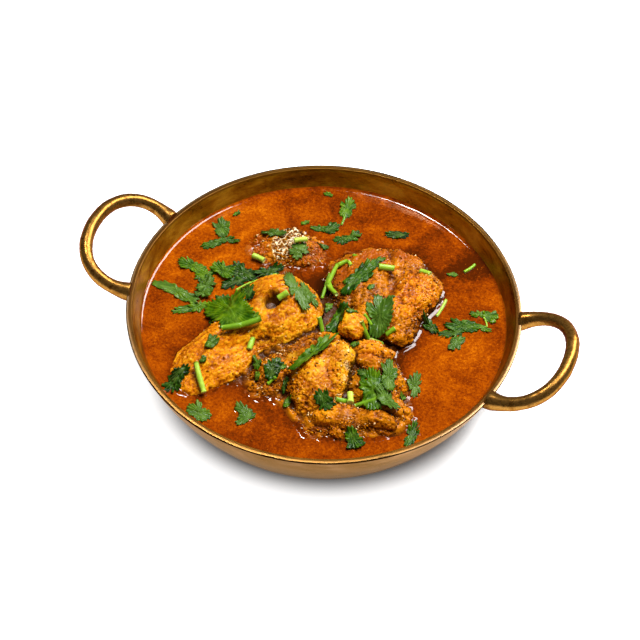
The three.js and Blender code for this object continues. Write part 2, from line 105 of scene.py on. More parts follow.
def add_piece(name, points, faces, material, replaces=(), layers=None, loop_uv=None):
    """Makes a mesh object from points in millimetres and a list of face arrays. It rides on the
    one body of the dish. layers are float attributes, one number for each point."""
    mesh = bpy.data.meshes.new(name)
    mesh.vertices.add(len(points))
    mesh.vertices.foreach_set("co", (points * MM).astype(np.float32).ravel())
    corners = np.concatenate([part.ravel() for part in faces])
    totals = np.concatenate([np.full(len(part), part.shape[1]) for part in faces])
    mesh.loops.add(len(corners))
    mesh.loops.foreach_set("vertex_index", corners.astype(np.int32))
    mesh.polygons.add(len(totals))
    mesh.polygons.foreach_set("loop_start", (np.cumsum(totals) - totals).astype(np.int32))
    mesh.polygons.foreach_set("loop_total", totals.astype(np.int32))
    mesh.polygons.foreach_set("use_smooth", np.ones(len(totals), dtype=bool))
    mesh.update(calc_edges=True)
    for key, values in (layers or {}).items():
        layer = mesh.attributes.new(key, "FLOAT", "POINT")
        layer.data.foreach_set("value", np.asarray(values, dtype=np.float32))
    if loop_uv is not None:
        mesh.uv_layers.new(name="UVMap").data.foreach_set("uv", loop_uv.astype(np.float32).ravel())
    mesh.materials.append(material)
    piece = add_object(name, mesh)
    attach(piece, "root")
    if replaces:
        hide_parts(*replaces)
    print(f"{name}: {int((totals - 2).sum())} triangles")


# %% [markdown]
# ## Noise for shapes
# Meat, masala and leaves are uneven at every size. Two patterns give that unevenness as plain
# functions of a point, so neighbouring pieces never repeat and each run gives the same result:
# a smooth value noise for lumps and fibres, and a cell pattern for grains. Each takes a size in
# millimetres and a seed.

# %% Noise helpers
MIXERS = (374761393, 668265263, 1440662683, 974634777)  # large numbers that mix the bits
LAST_MIXER = 1274126177


def random_corner(i, j, k, seed):
    """A fixed random number in 0..1 for whole numbers i, j, k: their mixed bits, scaled."""
    mixed = sum(number * mixer for number, mixer in zip((i, j, k, seed), MIXERS)) & 0xFFFFFFFF
    mixed = ((mixed ^ (mixed >> 13)) * LAST_MIXER) & 0xFFFFFFFF
    return ((mixed ^ (mixed >> 16)) & 0xFFFFFF) / 0xFFFFFF


def value_noise(points, size, seed=0):
    """Smooth noise in -1..1: random numbers on a lattice `size` apart, blended along each axis
    by 3t^2 - 2t^3."""
    scaled = points / size
    corner = np.floor(scaled).astype(np.int64)
    t = scaled - corner
    t = t * t * (3 - 2 * t)
    total = 0
    for step in itertools.product((0, 1), repeat=3):
        weight = np.prod(np.abs(t - (1 - np.array(step))), axis=-1)
        total = total + weight * random_corner(*(corner + step).T, seed)
    return 2 * total - 1


def layered_noise(points, size, layers, seed=0):
    """Sum of value noises, each half the size and half the height of the one before."""
    return sum(value_noise(points, size / 2**n, seed + n) / 2**n for n in range(layers))


def grains(points, size, seed=0):
    """Cell pattern: distance to the nearest of one random point in each cell, in cell sizes,
    and a fixed random number of that nearest point."""
    scaled = points / size
    corner = np.floor(scaled).astype(np.int64)
    nearest = np.full(len(points), np.inf)
    which = np.zeros(len(points))
    for step in itertools.product((-1, 0, 1), repeat=3):
        cell = (corner + step).T
        spot = [random_corner(*cell, seed + n) for n in range(3)]
        away = np.sqrt(sum((c + s - q) ** 2 for c, s, q in zip(cell, spot, scaled.T)))
        closer = away < nearest
        nearest = np.where(closer, away, nearest)
        which = np.where(closer, random_corner(*cell, seed + 7), which)
    return nearest, which


# %% [markdown]
# ## Materials
# All finishes are node materials on the Principled shader. A few helpers keep them readable:
# one adds a node and plugs values or sockets into it, the others name the usual steps. Colours
# are written as they look on a screen, and `screen` turns them into the shader's linear values.

# %% Colour and shader
def screen(red, green, blue):
    """Linear colour of a screen colour 0..255: c / 12.92 below 0.04, else ((c + 0.055) / 1.055)^2.4."""
    def channel(value):
        c = value / 255
        return c / 12.92 if c <= 0.04045 else ((c + 0.055) / 1.055) ** 2.4
    return (channel(red), channel(green), channel(blue), 1.0)


def new_material(name, **constants):
    """A material whose Principled shader has these constants, such as Metallic=1."""
    material = bpy.data.materials.new(name)
    material.use_nodes = True
    shader = material.node_tree.nodes["Principled BSDF"]
    for socket, value in constants.items():
        shader.inputs[socket.replace("_", " ")].default_value = value
    return material, material.node_tree, shader


def feed(tree, shader, **computed):
    """Plugs what other nodes work out into the shader, such as Base_Color=colour."""
    for socket, value in computed.items():
        tree.links.new(value, shader.inputs[socket.replace("_", " ")])


def put(tree, kind, inputs=None, **settings):
    """Adds a node, sets its settings, and plugs in sockets or plain values."""
    node = tree.nodes.new("ShaderNode" + kind)
    for key, value in settings.items():
        setattr(node, key, value)
    for key, value in (inputs or {}).items():
        if isinstance(value, bpy.types.NodeSocket):
            tree.links.new(value, node.inputs[key])
        else:
            node.inputs[key].default_value = value
    return node


# %% Patterns
def place_of(tree, factors=(1, 1, 1)):
    """Object coordinates in millimetres, times a factor along each axis. A factor above one
    presses a pattern together there."""
    here = put(tree, "TexCoord").outputs["Object"]
    scale = tuple(factor / MM for factor in factors)
    return put(tree, "Mapping", {"Vector": here, "Scale": scale}).outputs["Vector"]


def noise_of(tree, vector, size, detail=3.0, roughness=0.55, distortion=0.0):
    """Noise in 0..1 whose lumps are about `size` across."""
    values = {"Vector": vector, "Scale": 1 / size, "Detail": detail, "Roughness": roughness,
              "Distortion": distortion}
    return put(tree, "TexNoise", values).outputs["Fac"]


def cells_of(tree, vector, size):
    """Distance to the nearest cell point, in cell sizes."""
    return put(tree, "TexVoronoi", {"Vector": vector, "Scale": 1 / size}).outputs["Distance"]


def layer_of(tree, name):
    """A float attribute of the piece's own mesh."""
    return put(tree, "Attribute", attribute_name=name).outputs["Fac"]


# %% Sums, levels and blends
def sum_of(tree, first, second, share=1.0):
    """first + share * second."""
    values = {0: second, 1: share, 2: first}
    return put(tree, "Math", values, operation="MULTIPLY_ADD").outputs[0]


def vary(tree, value, noise, share):
    """value + share * (noise - 0.5): the noise moves the value both ways."""
    return sum_of(tree, value, sum_of(tree, noise, -0.5), share)


def level_of(tree, value, low, high, out_low=0.0, out_high=1.0):
    """The value stretched from low..high to out_low..out_high, and kept inside."""
    inputs = {"Value": value, "From Min": low, "From Max": high, "To Min": out_low, "To Max": out_high}
    return put(tree, "MapRange", inputs).outputs["Result"]


def ramp_of(tree, factor, *stops):
    """Colours along a factor: each stop is (place, colour on a screen)."""
    node = put(tree, "ValToRGB", {"Fac": factor})
    elements = node.color_ramp.elements
    for place, colour in stops[2:]:
        elements.new(place)
    for element, (place, colour) in zip(elements, sorted(stops, key=lambda stop: stop[0])):
        element.position = place
        element.color = screen(*colour)
    return node.outputs["Color"]


def blend_of(tree, factor, first, second):
    """Two colours mixed by a factor."""
    return put(tree, "Mix", {0: factor, 6: first, 7: second}, data_type="RGBA").outputs[2]


def bump_of(tree, height, depth, strength):
    """A bumped normal: the height 0..1 stands for `depth` millimetres."""
    values = {"Height": height, "Distance": depth * MM, "Strength": strength}
    return put(tree, "Bump", values).outputs["Normal"]


# %% [markdown]
# ## The bowl's wall
# The bowl is turned: its outside follows one arc from the lip to the foot, and its inside runs
# parallel to it. Both are needed by the bowl, the handles and the gravy, so the arc is a
# function of height. The rim's radius and height come from the frame.

# %% Wall arc
_, BOWL_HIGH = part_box("bowl")
RIM_RADIUS = round(BOWL_HIGH.x / MM)
RIM_HEIGHT = round(BOWL_HIGH.z / MM)
WALL = 3.0                    # thickness of the wall
WALL_ARC = 148.0              # radius of the outside's arc
WALL_LEAN = math.radians(18)  # lean of the wall at the lip, from upright
ARC_MIDDLE = (RIM_RADIUS - WALL_ARC * math.cos(WALL_LEAN), RIM_HEIGHT + WALL_ARC * math.sin(WALL_LEAN))
LEVEL = 38.85                 # surface of the gravy
FLOOR = 2.6                   # surface of the inner floor
FLOOR_RADIUS = 68.5
FOOT_RADIUS = 66.0
FOOT_EDGE = 4.6               # width of the rounding from the foot to the wall


def wall_radius(z, inset=0.0):
    """Radius of the wall's arc at height z, `inset` inside the outer face: the arc's middle plus
    the root of (arc - inset)^2 - (rise to the middle)^2."""
    return ARC_MIDDLE[0] + np.sqrt((WALL_ARC - inset) ** 2 - (ARC_MIDDLE[1] - z) ** 2)


print("rim", RIM_RADIUS, RIM_HEIGHT, "inside at the gravy", round(float(wall_radius(LEVEL, WALL)), 2))

# %% [markdown]
# ## Bronze
# The bowl is bronze that was turned on a lathe and then used. Fine rings run round it. The
# outside is satin and pinkish brown, and painted shade darkens it towards the foot. The inside
# is browned by oil and heat, and painted light makes it golden at the back and a little at the
# left. The flat lip carries painted highlight and shade lines, which are others towards the
# handles. One material does all of it. Float attributes on the mesh say which side a point is on
# and whether it is on the lip. The UV map counts the way round the bowl and the way from the lip,
# so noise stretched along it gives the rings, and a ramp across it gives the lines.

# %% Bronze material
RING_STRETCH = (6, 1.6, 1)    # on the UV map, whose first number counts sixtieths of a turn
LIP_REACH = 2.6               # half the width of the band of lines on the lip
# Painted highlight and shade lines across the lip, at the front and towards the handles.
LIP_LINES = ((0.0, (170, 120, 66)), (0.11, (140, 96, 50)), (0.15, (44, 24, 6)),
             (0.31, (36, 18, 3)), (0.37, (164, 118, 60)), (0.52, (142, 98, 42)),
             (0.6, (78, 46, 8)), (0.72, (120, 78, 16)), (1.0, (96, 60, 8)))
LIP_SIDES = ((0.0, (90, 60, 32)), (0.2, (66, 42, 20)), (0.27, (160, 126, 90)),
             (0.38, (170, 134, 92)), (0.46, (104, 70, 32)), (0.58, (84, 50, 12)),
             (0.8, (112, 72, 16)), (1.0, (96, 60, 8)))
SIDES_FROM = (58.0, 88.0)     # the second lines begin and are full this far to the sides
FOOT_PAINTED_SHADE = (-9.0, -50.0)  # the same for the dark foot, counted down from the lip

# Where painted light makes the inside golden: a direction, how far along it that starts and is
# full, and how golden it then is.
LIT_GOLD_SIDES = (((0.34, 0.94, 0.0), (70.0, 94.0), 1.0), ((-0.97, 0.25, 0.0), (62.0, 94.0), 0.4))


def bronze_inside(tree, here, mottle):
    """Olive brown, blended towards gold along each of the lit directions, which is painted light."""
    inside = ramp_of(tree, mottle, (0.26, (56, 29, 0)), (0.48, (122, 75, 4)), (0.7, (176, 126, 22)))
    lit_gold = ramp_of(tree, mottle, (0.26, (128, 76, 4)), (0.48, (186, 128, 14)), (0.7, (226, 176, 48)))
    for direction, reach, share in LIT_GOLD_SIDES:
        along = put(tree, "VectorMath", {0: here, 1: direction}, operation="DOT_PRODUCT").outputs["Value"]
        inside = blend_of(tree, level_of(tree, along, *reach, 0.0, share), inside, lit_gold)
    return inside


def bronze_lip(tree, here, across):
    """The painted highlight and shade lines of the lip by the way across it, blended from the
    front's to the sides'.
    """
    level = level_of(tree, across, -LIP_REACH, LIP_REACH)
    sideways = put(tree, "SeparateXYZ", {"Vector": here}).outputs["X"]
    sideways = put(tree, "Math", {0: sideways}, operation="ABSOLUTE").outputs[0]
    return blend_of(tree, level_of(tree, sideways, *SIDES_FROM), ramp_of(tree, level, *LIP_LINES),
                    ramp_of(tree, level, *LIP_SIDES))


def bronze_material():
    """Metal whose colour goes from pinkish bronze outside over the lip to olive brown inside."""
    material, tree, shader = new_material("turned_bronze", Specular_Tint=screen(226, 196, 160))
    here = place_of(tree)
    around = put(tree, "UVMap", uv_map="UVMap").outputs["UV"]
    across = put(tree, "SeparateXYZ", {"Vector": around}).outputs["Y"]
    rings = put(tree, "Mapping", {"Vector": around, "Scale": RING_STRETCH}).outputs["Vector"]
    ring = noise_of(tree, rings, 1.0, 4.0, 0.7)
    patch = noise_of(tree, place_of(tree, (1, 1, 3)), 16.0, 5.0, 0.62, 0.4)
    fine = noise_of(tree, here, 1.1, 3.0, 0.6)
    mottle = vary(tree, patch, ring, 0.4)
    outside = ramp_of(tree, mottle, (0.25, (98, 74, 52)), (0.5, (138, 108, 84)), (0.75, (172, 140, 112)))
    # Painted shade: the outside darkens towards the foot.
    outside = blend_of(tree, level_of(tree, across, *FOOT_PAINTED_SHADE, 0.0, 0.8), outside, screen(64, 46, 32))
    browned = layer_of(tree, "inside")
    colour = blend_of(tree, browned, outside, bronze_inside(tree, here, mottle))
    # The lip's painted highlight and shade lines.
    lip = bronze_lip(tree, here, vary(tree, across, patch, 1.2))
    colour = blend_of(tree, layer_of(tree, "painted_lip"), colour, lip)
    feed(tree, shader, Base_Color=colour,
         Metallic=level_of(tree, browned, 0.0, 1.0, 1.0, 0.6),
         Roughness=level_of(tree, mottle, 0.3, 0.95, 0.26, 0.46),
         Normal=bump_of(tree, sum_of(tree, ring, fine, 0.35), 0.05, 0.6))
    return material


BRONZE = bronze_material()

# %% [markdown]
# ## Turning the bowl
# A profile of radius and height is carried round the axis. Its rows are close together where
# the lip rounds over, which is where the light draws its bright line. The lip is not quite even
# on a bowl that was finished by hand, so its height wanders by a tenth of a millimetre.

# %% Bowl profile
LIP_ROUND = 0.55  # radius of both edges of the lip
LIP_HALF = 1.0    # half the width of its flat top
BELOW_LIP = 1.2   # where the two arcs end, below the rim
OUTSIDE_FROM, INSIDE_FROM = 2.2, 5.0  # and the heights where they begin
OUTSIDE_ROWS, INSIDE_ROWS, LIP_ROWS, FOOT_ROWS = 44, 40, 7, 5
EDGE_RISE = 0.5   # rise of the foot's rounding, and of the floor's edge


def bowl_profile():
    """Rows of (radius, height) from the middle of the foot round the lip to the middle of the
    floor, and the way along them from the middle of the lip. The foot's rounding rises with the
    square of the way out, the wall follows its arc, and the lip's edges are quarter circles."""
    turn = np.linspace(0, math.pi / 2, LIP_ROWS)
    rounding = np.linspace(0.1, 1, FOOT_ROWS)
    outer_z = np.linspace(OUTSIDE_FROM, RIM_HEIGHT - BELOW_LIP, OUTSIDE_ROWS)
    inner_z = np.linspace(RIM_HEIGHT - BELOW_LIP, INSIDE_FROM, INSIDE_ROWS)
    top_outer = RIM_RADIUS - LIP_ROUND
    top_inner = float(wall_radius(RIM_HEIGHT, WALL)) + LIP_ROUND
    shoulder = RIM_HEIGHT - LIP_ROUND
    rows = [
        ((0, 30, 55, FOOT_RADIUS - 2, FOOT_RADIUS), np.zeros(5)),
        (FOOT_RADIUS + FOOT_EDGE * rounding, EDGE_RISE * rounding**2),
        (wall_radius(outer_z), outer_z),
        (top_outer + LIP_ROUND * np.cos(turn), shoulder + LIP_ROUND * np.sin(turn)),
        (top_inner - LIP_ROUND * np.sin(turn), shoulder + LIP_ROUND * np.cos(turn)),
        (wall_radius(inner_z, WALL), inner_z),
        ((FLOOR_RADIUS, FLOOR_RADIUS - 6, 40, 20, 0), (FLOOR + EDGE_RISE, FLOOR, FLOOR, FLOOR, FLOOR)),
    ]
    profile = np.concatenate([np.stack(row, 1) for row in rows])
    steps = np.concatenate([[0], np.cumsum(np.hypot(*np.diff(profile, axis=0).T))])
    return profile, steps - steps[np.argmax(profile[:, 1])] - LIP_HALF


# %% Bowl mesh
BOWL_SECTORS = 300
LIP_WAVES = ((0.1, 2, 0.7), (0.06, 5, 0.0))  # height, number round the rim, and first turn
LIP_SINK = 0.12     # how far their middle lies below the rim
WAVES_FROM = 44.0   # height where the waves begin
SIDE_CHANGE = 1.5   # way over which outside becomes inside
PAINTED_LIP_REACH = 2.3  # the lip's lines end this far from its middle
TURN_UNITS = 60     # the UV map counts a full turn as 60


def loop_uv_of(faces, along, angle, ring_count):
    """UV of each face corner: u is the turn and v the way along the profile. A face that
    crosses the seam takes its low turns as one turn more."""
    turn = np.append(angle / (2 * math.pi), [0, 0])
    way = np.append(along, [along[0], along[-1]])
    out = []
    for part in faces:
        u, v = turn[part], way[part]
        crosses = (u.max(1) - u.min(1)) > 0.5
        u = np.where(crosses[:, None] & (u < 0.5), u + 1, u)
        u = np.where(part >= ring_count, u.mean(1, keepdims=True), u)
        out.append(np.stack([u * TURN_UNITS, v], -1).reshape(-1, 2))
    return np.concatenate(out)


def make_bowl():
    """Each profile row is turned about Z: (r cos a, r sin a, z). Near the lip a few sine waves
    round the rim are added to the height."""
    profile, steps = bowl_profile()
    inside = np.clip((steps + LIP_HALF) / SIDE_CHANGE, 0, 1)
    # The band of the lip that takes the painted highlight and shade lines.
    painted_lip = np.exp(-((steps / PAINTED_LIP_REACH) ** 8))
    angle = np.arange(BOWL_SECTORS) / BOWL_SECTORS * 2 * math.pi
    radius, height = profile[1:-1, 0, None], profile[1:-1, 1, None]
    wander = sum(rise * np.sin(number * angle + first) for rise, number, first in LIP_WAVES)
    near_lip = np.clip((height - WAVES_FROM) / (RIM_HEIGHT - WAVES_FROM), 0, 1)
    z = height + (wander - LIP_SINK) * near_lip
    ring_points = np.stack([radius * np.cos(angle), radius * np.sin(angle), z], -1).reshape(-1, 3)
    poles = np.array([[0, 0, profile[0, 1]], [0, 0, profile[-1, 1]]])
    points = np.concatenate([ring_points, poles])
    faces = outward(points, tube_faces(len(radius), BOWL_SECTORS))
    uv = loop_uv_of(faces, np.repeat(steps[1:-1], BOWL_SECTORS), np.tile(angle, len(radius)),
                    len(ring_points))
    layers = {
        "inside": np.append(np.repeat(inside[1:-1], BOWL_SECTORS), [0, 1]),
        "painted_lip": np.append(np.repeat(painted_lip[1:-1], BOWL_SECTORS), [0, 0]),
    }
    add_piece("bronze_bowl", points, faces, BRONZE, ("bowl",), layers, uv)


make_bowl()

# %% [markdown]
# ## Brass
# The handles are brass, yellower than the bowl and polished by hands, with brown left in the
# pits. Noise at two sizes gives the clouds of brown and the small pits.

# %% Brass material
def brass_material():
    """Golden brass with brown where two noises are both high."""
    material, tree, shader = new_material("polished_brass", Metallic=0.85,
                                          Specular_Tint=screen(120, 82, 42))
    here = place_of(tree)
    cloud = noise_of(tree, here, 5.0, 4.0, 0.6)
    pits = noise_of(tree, here, 1.3, 3.0, 0.65)
    dirt = level_of(tree, sum_of(tree, cloud, pits, 0.5), 0.74, 0.96)
    colour = ramp_of(tree, cloud, (0.3, (124, 80, 26)), (0.7, (186, 138, 68)))
    feed(tree, shader, Base_Color=blend_of(tree, dirt, colour, screen(100, 58, 12)),
         Roughness=level_of(tree, cloud, 0.3, 0.8, 0.24, 0.36),
         Normal=bump_of(tree, sum_of(tree, pits, cloud, 1.5), 0.06, 0.3))
    return material


BRASS = brass_material()

# %% [markdown]
# ## The handles
# Each handle is a cast rod, bent into a loop and brazed to the wall, thicker at both roots. A
# circle is carried along two mirrored Bezier bends. The points that would come inside the wall
# are pushed back into its thickness, which closes the rod without a cut.

# %% Handle sizes
HANDLE_RADIUS = 3.5
HANDLE_FLARE = 1.3                 # extra radius at the roots
FLARE_FULL, FLARE_LENGTH = 6.0, 7.0  # it is full this far from the end, and fades over that
HANDLE_TILT = math.radians(22)     # rise of the loop's plane away from the bowl
HANDLE_SPLAY = math.radians(29.7)  # the rod leaves its root turned outwards by this
ROOT_X, ROOT_DROP, ROOT_SPREAD = 90.3, 4.3, 24.3
HANDLE_REACH = 39.5                # from the roots to the top of the loop
PULL_ROOT, PULL_TOP = 24.8, 25.2   # how far the Bezier bends are pulled at root and top
ROD_STEPS, ROD_SIDES = 160, 28
IN_WALL = 1.4                      # how deep the rod's ends sit in the wall
CAST_LUMPS, CAST_PITS = (0.16, 7.0), (0.07, 2.6)  # height and size of what the mould left


# %% Rod along a path
def bezier(corners, t):
    """Cubic Bezier: the four corners weighted by (1-t)^3, 3(1-t)^2 t, 3(1-t) t^2 and t^3."""
    t = t[:, None]
    weights = ((1 - t) ** 3, 3 * (1 - t) ** 2 * t, 3 * (1 - t) * t**2, t**3)
    return sum(w * np.array(c) for w, c in zip(weights, corners))


def handle_path():
    """(reach, across) points of the loop in its own plane, from one root to the other."""
    splay = (PULL_ROOT * math.cos(HANDLE_SPLAY), ROOT_SPREAD + PULL_ROOT * math.sin(HANDLE_SPLAY))
    corners = ((0, ROOT_SPREAD), splay, (HANDLE_REACH, PULL_TOP), (HANDLE_REACH, 0))
    half = bezier(corners, np.linspace(0, 1, ROD_STEPS // 2))
    return np.concatenate([half, (half * (1, -1))[-2::-1]])


def tube(path, radius, up, sides):
    """Rings of points round a path, and each ring's outward directions: the ring turns from
    the path's sideways direction towards up."""
    step = np.gradient(path, axis=0)
    step /= np.linalg.norm(step, axis=1, keepdims=True)
    across = np.cross(step, up)
    across /= np.linalg.norm(across, axis=1, keepdims=True)
    above = np.cross(across, step)
    turn = np.arange(sides) / sides * 2 * math.pi
    ring = across[:, None] * np.cos(turn)[None, :, None] + above[:, None] * np.sin(turn)[None, :, None]
    return path[:, None] + radius[:, None, None] * ring, ring


# %% Handle meshes
def make_handle(name, side):
    """A circle of radius R + flare * exp(-(way from the wall / length)^2) carried along the loop.
    side is 1 for the right handle and -1 for the left one, which is turned half round."""
    reach, across = handle_path().T
    path = np.stack([
        ROOT_X + reach * math.cos(HANDLE_TILT),
        across,
        RIM_HEIGHT - ROOT_DROP + reach * math.sin(HANDLE_TILT),
    ], 1)
    way = np.concatenate([[0], np.cumsum(np.linalg.norm(np.diff(path, axis=0), axis=1))])
    from_end = np.maximum(0, np.minimum(way, way[-1] - way) - FLARE_FULL)
    radius = HANDLE_RADIUS + HANDLE_FLARE * np.exp(-((from_end / FLARE_LENGTH) ** 2))
    up = np.array([-math.sin(HANDLE_TILT), 0, math.cos(HANDLE_TILT)])
    rings, outwards = tube(path, radius, up, ROD_SIDES)
    points, outwards = rings.reshape(-1, 3), outwards.reshape(-1, 3)
    cast = CAST_LUMPS[0] * value_noise(points * (side, side, 1), CAST_LUMPS[1], 3)
    cast = cast + CAST_PITS[0] * value_noise(points, CAST_PITS[1], 4)
    points = points + outwards * cast[:, None]
    far = np.hypot(points[:, 0], points[:, 1])
    least = wall_radius(np.minimum(points[:, 2], RIM_HEIGHT), IN_WALL)
    points[:, :2] *= np.maximum(1, least / far)[:, None] * side
    poles = np.stack([points[:ROD_SIDES].mean(0), points[-ROD_SIDES:].mean(0)])
    points = np.concatenate([points, poles])
    faces = outward(points, tube_faces(len(path), ROD_SIDES))
    add_piece(name.replace("handle", "loop_handle"), points, faces, BRASS, (name,))


make_handle("handle_right", 1)
make_handle("handle_left", -1)

# %% [markdown]
# ## The chicken's forms
# Each piece of chicken is a dome over a closed outline, sunk in the gravy. The outline is a
# smooth ring through a few radii, evenly spaced from +X towards +Y. Lumps are round bulges or
# dents [x, y, radius, height] and creases are folds [x, y, x, y, width, depth]. All sizes are in
# millimetres from the middle of the piece. `coat` says how thick the masala on it is, `grain`
# how coarse, and `gold` how much bare golden meat shows, with patches [x, y, radius] of it.
# `rough` is how torn the piece is, and `lay` the direction of its muscle in degrees.
# Up to `dip` above the gravy a piece is coated with it, and so are its `soaked` patches.

# %% Chicken sizes
PIECES = [
    dict(name="chicken_cube", at=(17.5, -8), base=7, rise=6.5, keel=7, tilt=(0, 0.15), square=4.4,
         radii=(6.2, 8.2, 6.6, 8.4, 5.6, 7.2, 5.8, 7.8), lumps=(), creases=(),
         grid=90, coat=0.0, grain=0.8, gold=1.0, patches=(), dip=1.2, rough=0.1, lay=20),
    dict(name="chicken_breast", at=(-30, -28), base=2, rise=7, keel=11, tilt=(0.03, 0.07), square=2.3,
         radii=(18.5, 29, 40, 43.5, 41.5, 31, 22, 19.5, 20.5, 26.5, 42, 47, 31.5, 19.5, 12.5, 13),
         lumps=((8, 28, 20, 11), (6, 15, 4, -5), (-12, -22, 10, 1.5)),
         creases=((-10, -16, 10, -2, 3.5, 3),),
         grid=292, coat=0.12, grain=0.9, gold=1.0, patches=(), dip=0.9, rough=0.22, lay=62),
    dict(name="chicken_front", at=(13, -41), base=1, rise=11, keel=10, tilt=(0.05, 0.16), square=3.4,
         radii=(15.5, 15.5, 20, 20.5, 13.5, 13, 16, 16.5, 18.5, 22.5, 19.5, 17.5),
         lumps=((8, 8, 6, 1.5), (-6, -6, 8, 1), (10, -8, 5, -2)), creases=(),
         grid=240, coat=0.55, grain=1.35, gold=0.6, patches=((12, 2, 3.5),), dip=2.0, rough=0.8, lay=80),
    dict(name="chicken_thigh", at=(25, 22), base=0, rise=10, keel=11, tilt=(0.05, -0.02), square=2.6,
         radii=(24.5, 27.5, 29.5, 31, 32.5, 35, 36.5, 36.5, 31.5, 26.5, 22.5, 21.5, 23.5, 29, 28, 25),
         lumps=((14, 6, 10, 3), (-14, 12, 9, 1.5), (-2, 4, 6, -2), (10, -16, 8, 2)),
         creases=((0, -22, 4, 26, 4, 3),),
         grid=280, coat=0.75, grain=1.2, gold=0.25, patches=((14, 6, 12), (12, -10, 7)),
         soaked=((-14, 22, 12), (-26, 2, 10), (2, 30, 9)), dip=3.4, rough=0.9, lay=105),
    dict(name="chicken_right", at=(37, -30), base=0, rise=9, keel=10, tilt=(-0.05, 0.12), square=2.6,
         radii=(16, 12.5, 13.5, 17, 20.5, 21.5, 13.5, 13.5, 17.5, 19.5, 18.5, 20),
         lumps=((-6, 8, 7, 2), (6, -6, 6, 1.5)), creases=(),
         grid=200, coat=0.8, grain=1.2, gold=0.15, patches=((-4, 10, 6), (14, -4, 5)),
         dip=3.0, rough=1.2, lay=20),
    dict(name="chicken_middle", at=(-5, -37), base=0, rise=7, keel=10, tilt=(0.05, 0.1), square=2.6,
         radii=(11, 20, 27.5, 15, 10, 10.5, 13.5, 21, 24.5, 20, 11.5, 10.5),
         lumps=((6, 8, 6, 1.5), (-8, -8, 6, 1)), creases=(),
         grid=200, coat=1.0, grain=1.5, gold=0.1, patches=(), dip=2.6, rough=1.0, lay=40),
    dict(name="chicken_lower", at=(36, -57), base=0, rise=6, keel=10, tilt=(0, 0.06), square=2.6,
         radii=(20, 27, 14.5, 10, 7.5, 10, 17, 26, 14.5, 8.5, 8.5, 10),
         lumps=((-10, 0, 5, 1.5), (2, 0, 5, -1.5), (12, 6, 6, 1.5)), creases=(),
         grid=200, coat=0.7, grain=1.2, gold=0.15, patches=((-14, -3, 6),), dip=3.0, rough=1.3, lay=0),
    dict(name="chicken_sunken", at=(-35, 38), base=-2, rise=6, keel=9, tilt=(0.05, 0), square=2.2,
         radii=(21, 18, 16.5, 16, 15, 16, 19.5, 20.5, 17, 13.5, 13, 17.5),
         lumps=((8, 0, 9, 1.5), (-8, 2, 6, 0.5), (-2, 0, 4, -1.5)), creases=(),
         grid=200, coat=0.8, grain=1.3, gold=0.3, patches=((-10, -2, 7),), dip=6.5, rough=0.8, lay=0),
]


# %% Upper surfaces
def outline_radius(radii, angle):
    """Distance from a piece's middle to its outline: a Catmull-Rom curve through the radii."""
    ring = np.array(radii, dtype=float)
    turn = angle / (2 * math.pi) * len(ring)
    i = np.floor(turn).astype(int)
    f = turn - i
    a, b, c, d = (ring[(i + k) % len(ring)] for k in (-1, 0, 1, 2))
    return b + 0.5 * f * (c - a + f * (2 * a - 5 * b + 4 * c - d + f * (3 * (b - c) + d - a)))


def bell(x, y, middle_x, middle_y, radius, power=1):
    """1 at a place and less around it: exp(-(distance / radius)^2). A power of 2 on what stands
    in the brackets makes its top flat."""
    return np.exp(-(((x - middle_x) ** 2 + (y - middle_y) ** 2) / radius**2) ** power)


def beside_line(x, y, start, way):
    """Where a point is beside the line from `start` along `way`: the share of the way to its
    foot on the line, kept in 0..1, and the two coordinates from that foot to the point."""
    ux, uy = way
    t = np.clip(((x - start[0]) * ux + (y - start[1]) * uy) / (ux * ux + uy * uy), 0, 1)
    return t, x - start[0] - t * ux, y - start[1] - t * uy


def relief(piece, x, y):
    """Lumps add height times a bell, and creases take away depth times a bell across a line
    between two points."""
    height = np.zeros_like(x)
    for lump_x, lump_y, radius, rise in piece["lumps"]:
        height += rise * bell(x, y, lump_x, lump_y, radius)
    for x0, y0, x1, y1, width, depth in piece["creases"]:
        _, dx, dy = beside_line(x, y, (x0, y0), (x1 - x0, y1 - y0))
        height -= depth * bell(dx, dy, 0, 0, width)
    return height


def top_of(piece, x, y):
    """Height of a piece's upper surface: base + slope + rise * (1 - share^p)^(1/p) + relief, with
    share the way from its middle to its outline, and minus infinity beside it."""
    dx, dy = x - piece["at"][0], y - piece["at"][1]
    share = np.hypot(dx, dy) / outline_radius(piece["radii"], np.arctan2(dy, dx))
    inside = np.minimum(share, 1)
    power = piece["square"]
    height = LEVEL + piece["base"] + piece["tilt"][0] * dx + piece["tilt"][1] * dy
    height = height + piece["rise"] * (1 - inside**power) ** (1 / power)
    height = height + relief(piece, dx, dy) * (1 - inside**4)
    return np.where(share < 1, height, -np.inf)


def support(x, y):
    """Highest thing under a point: the gravy or a piece of chicken."""
    x, y = np.asarray(x, dtype=float), np.asarray(y, dtype=float)
    return np.maximum(LEVEL, np.max([top_of(piece, x, y) for piece in PIECES], axis=0))


# %% [markdown]
# ## Chicken meat
# Cooked chicken is pale golden where it is bare and takes the colour of the masala where ground
# spice clings to it. One function makes both finishes. The mesh carries what a point is like,
# as float attributes: how high it stands in the fine relief, how golden it is, where it is
# pale with fat and where with painted highlights, how wet with gravy, and how much painted shade
# it gets in a crevice.

# %% Meat material
TONE_PLACES = (0.1, 0.5, 0.95)  # where the three tones lie between the pits and the tops


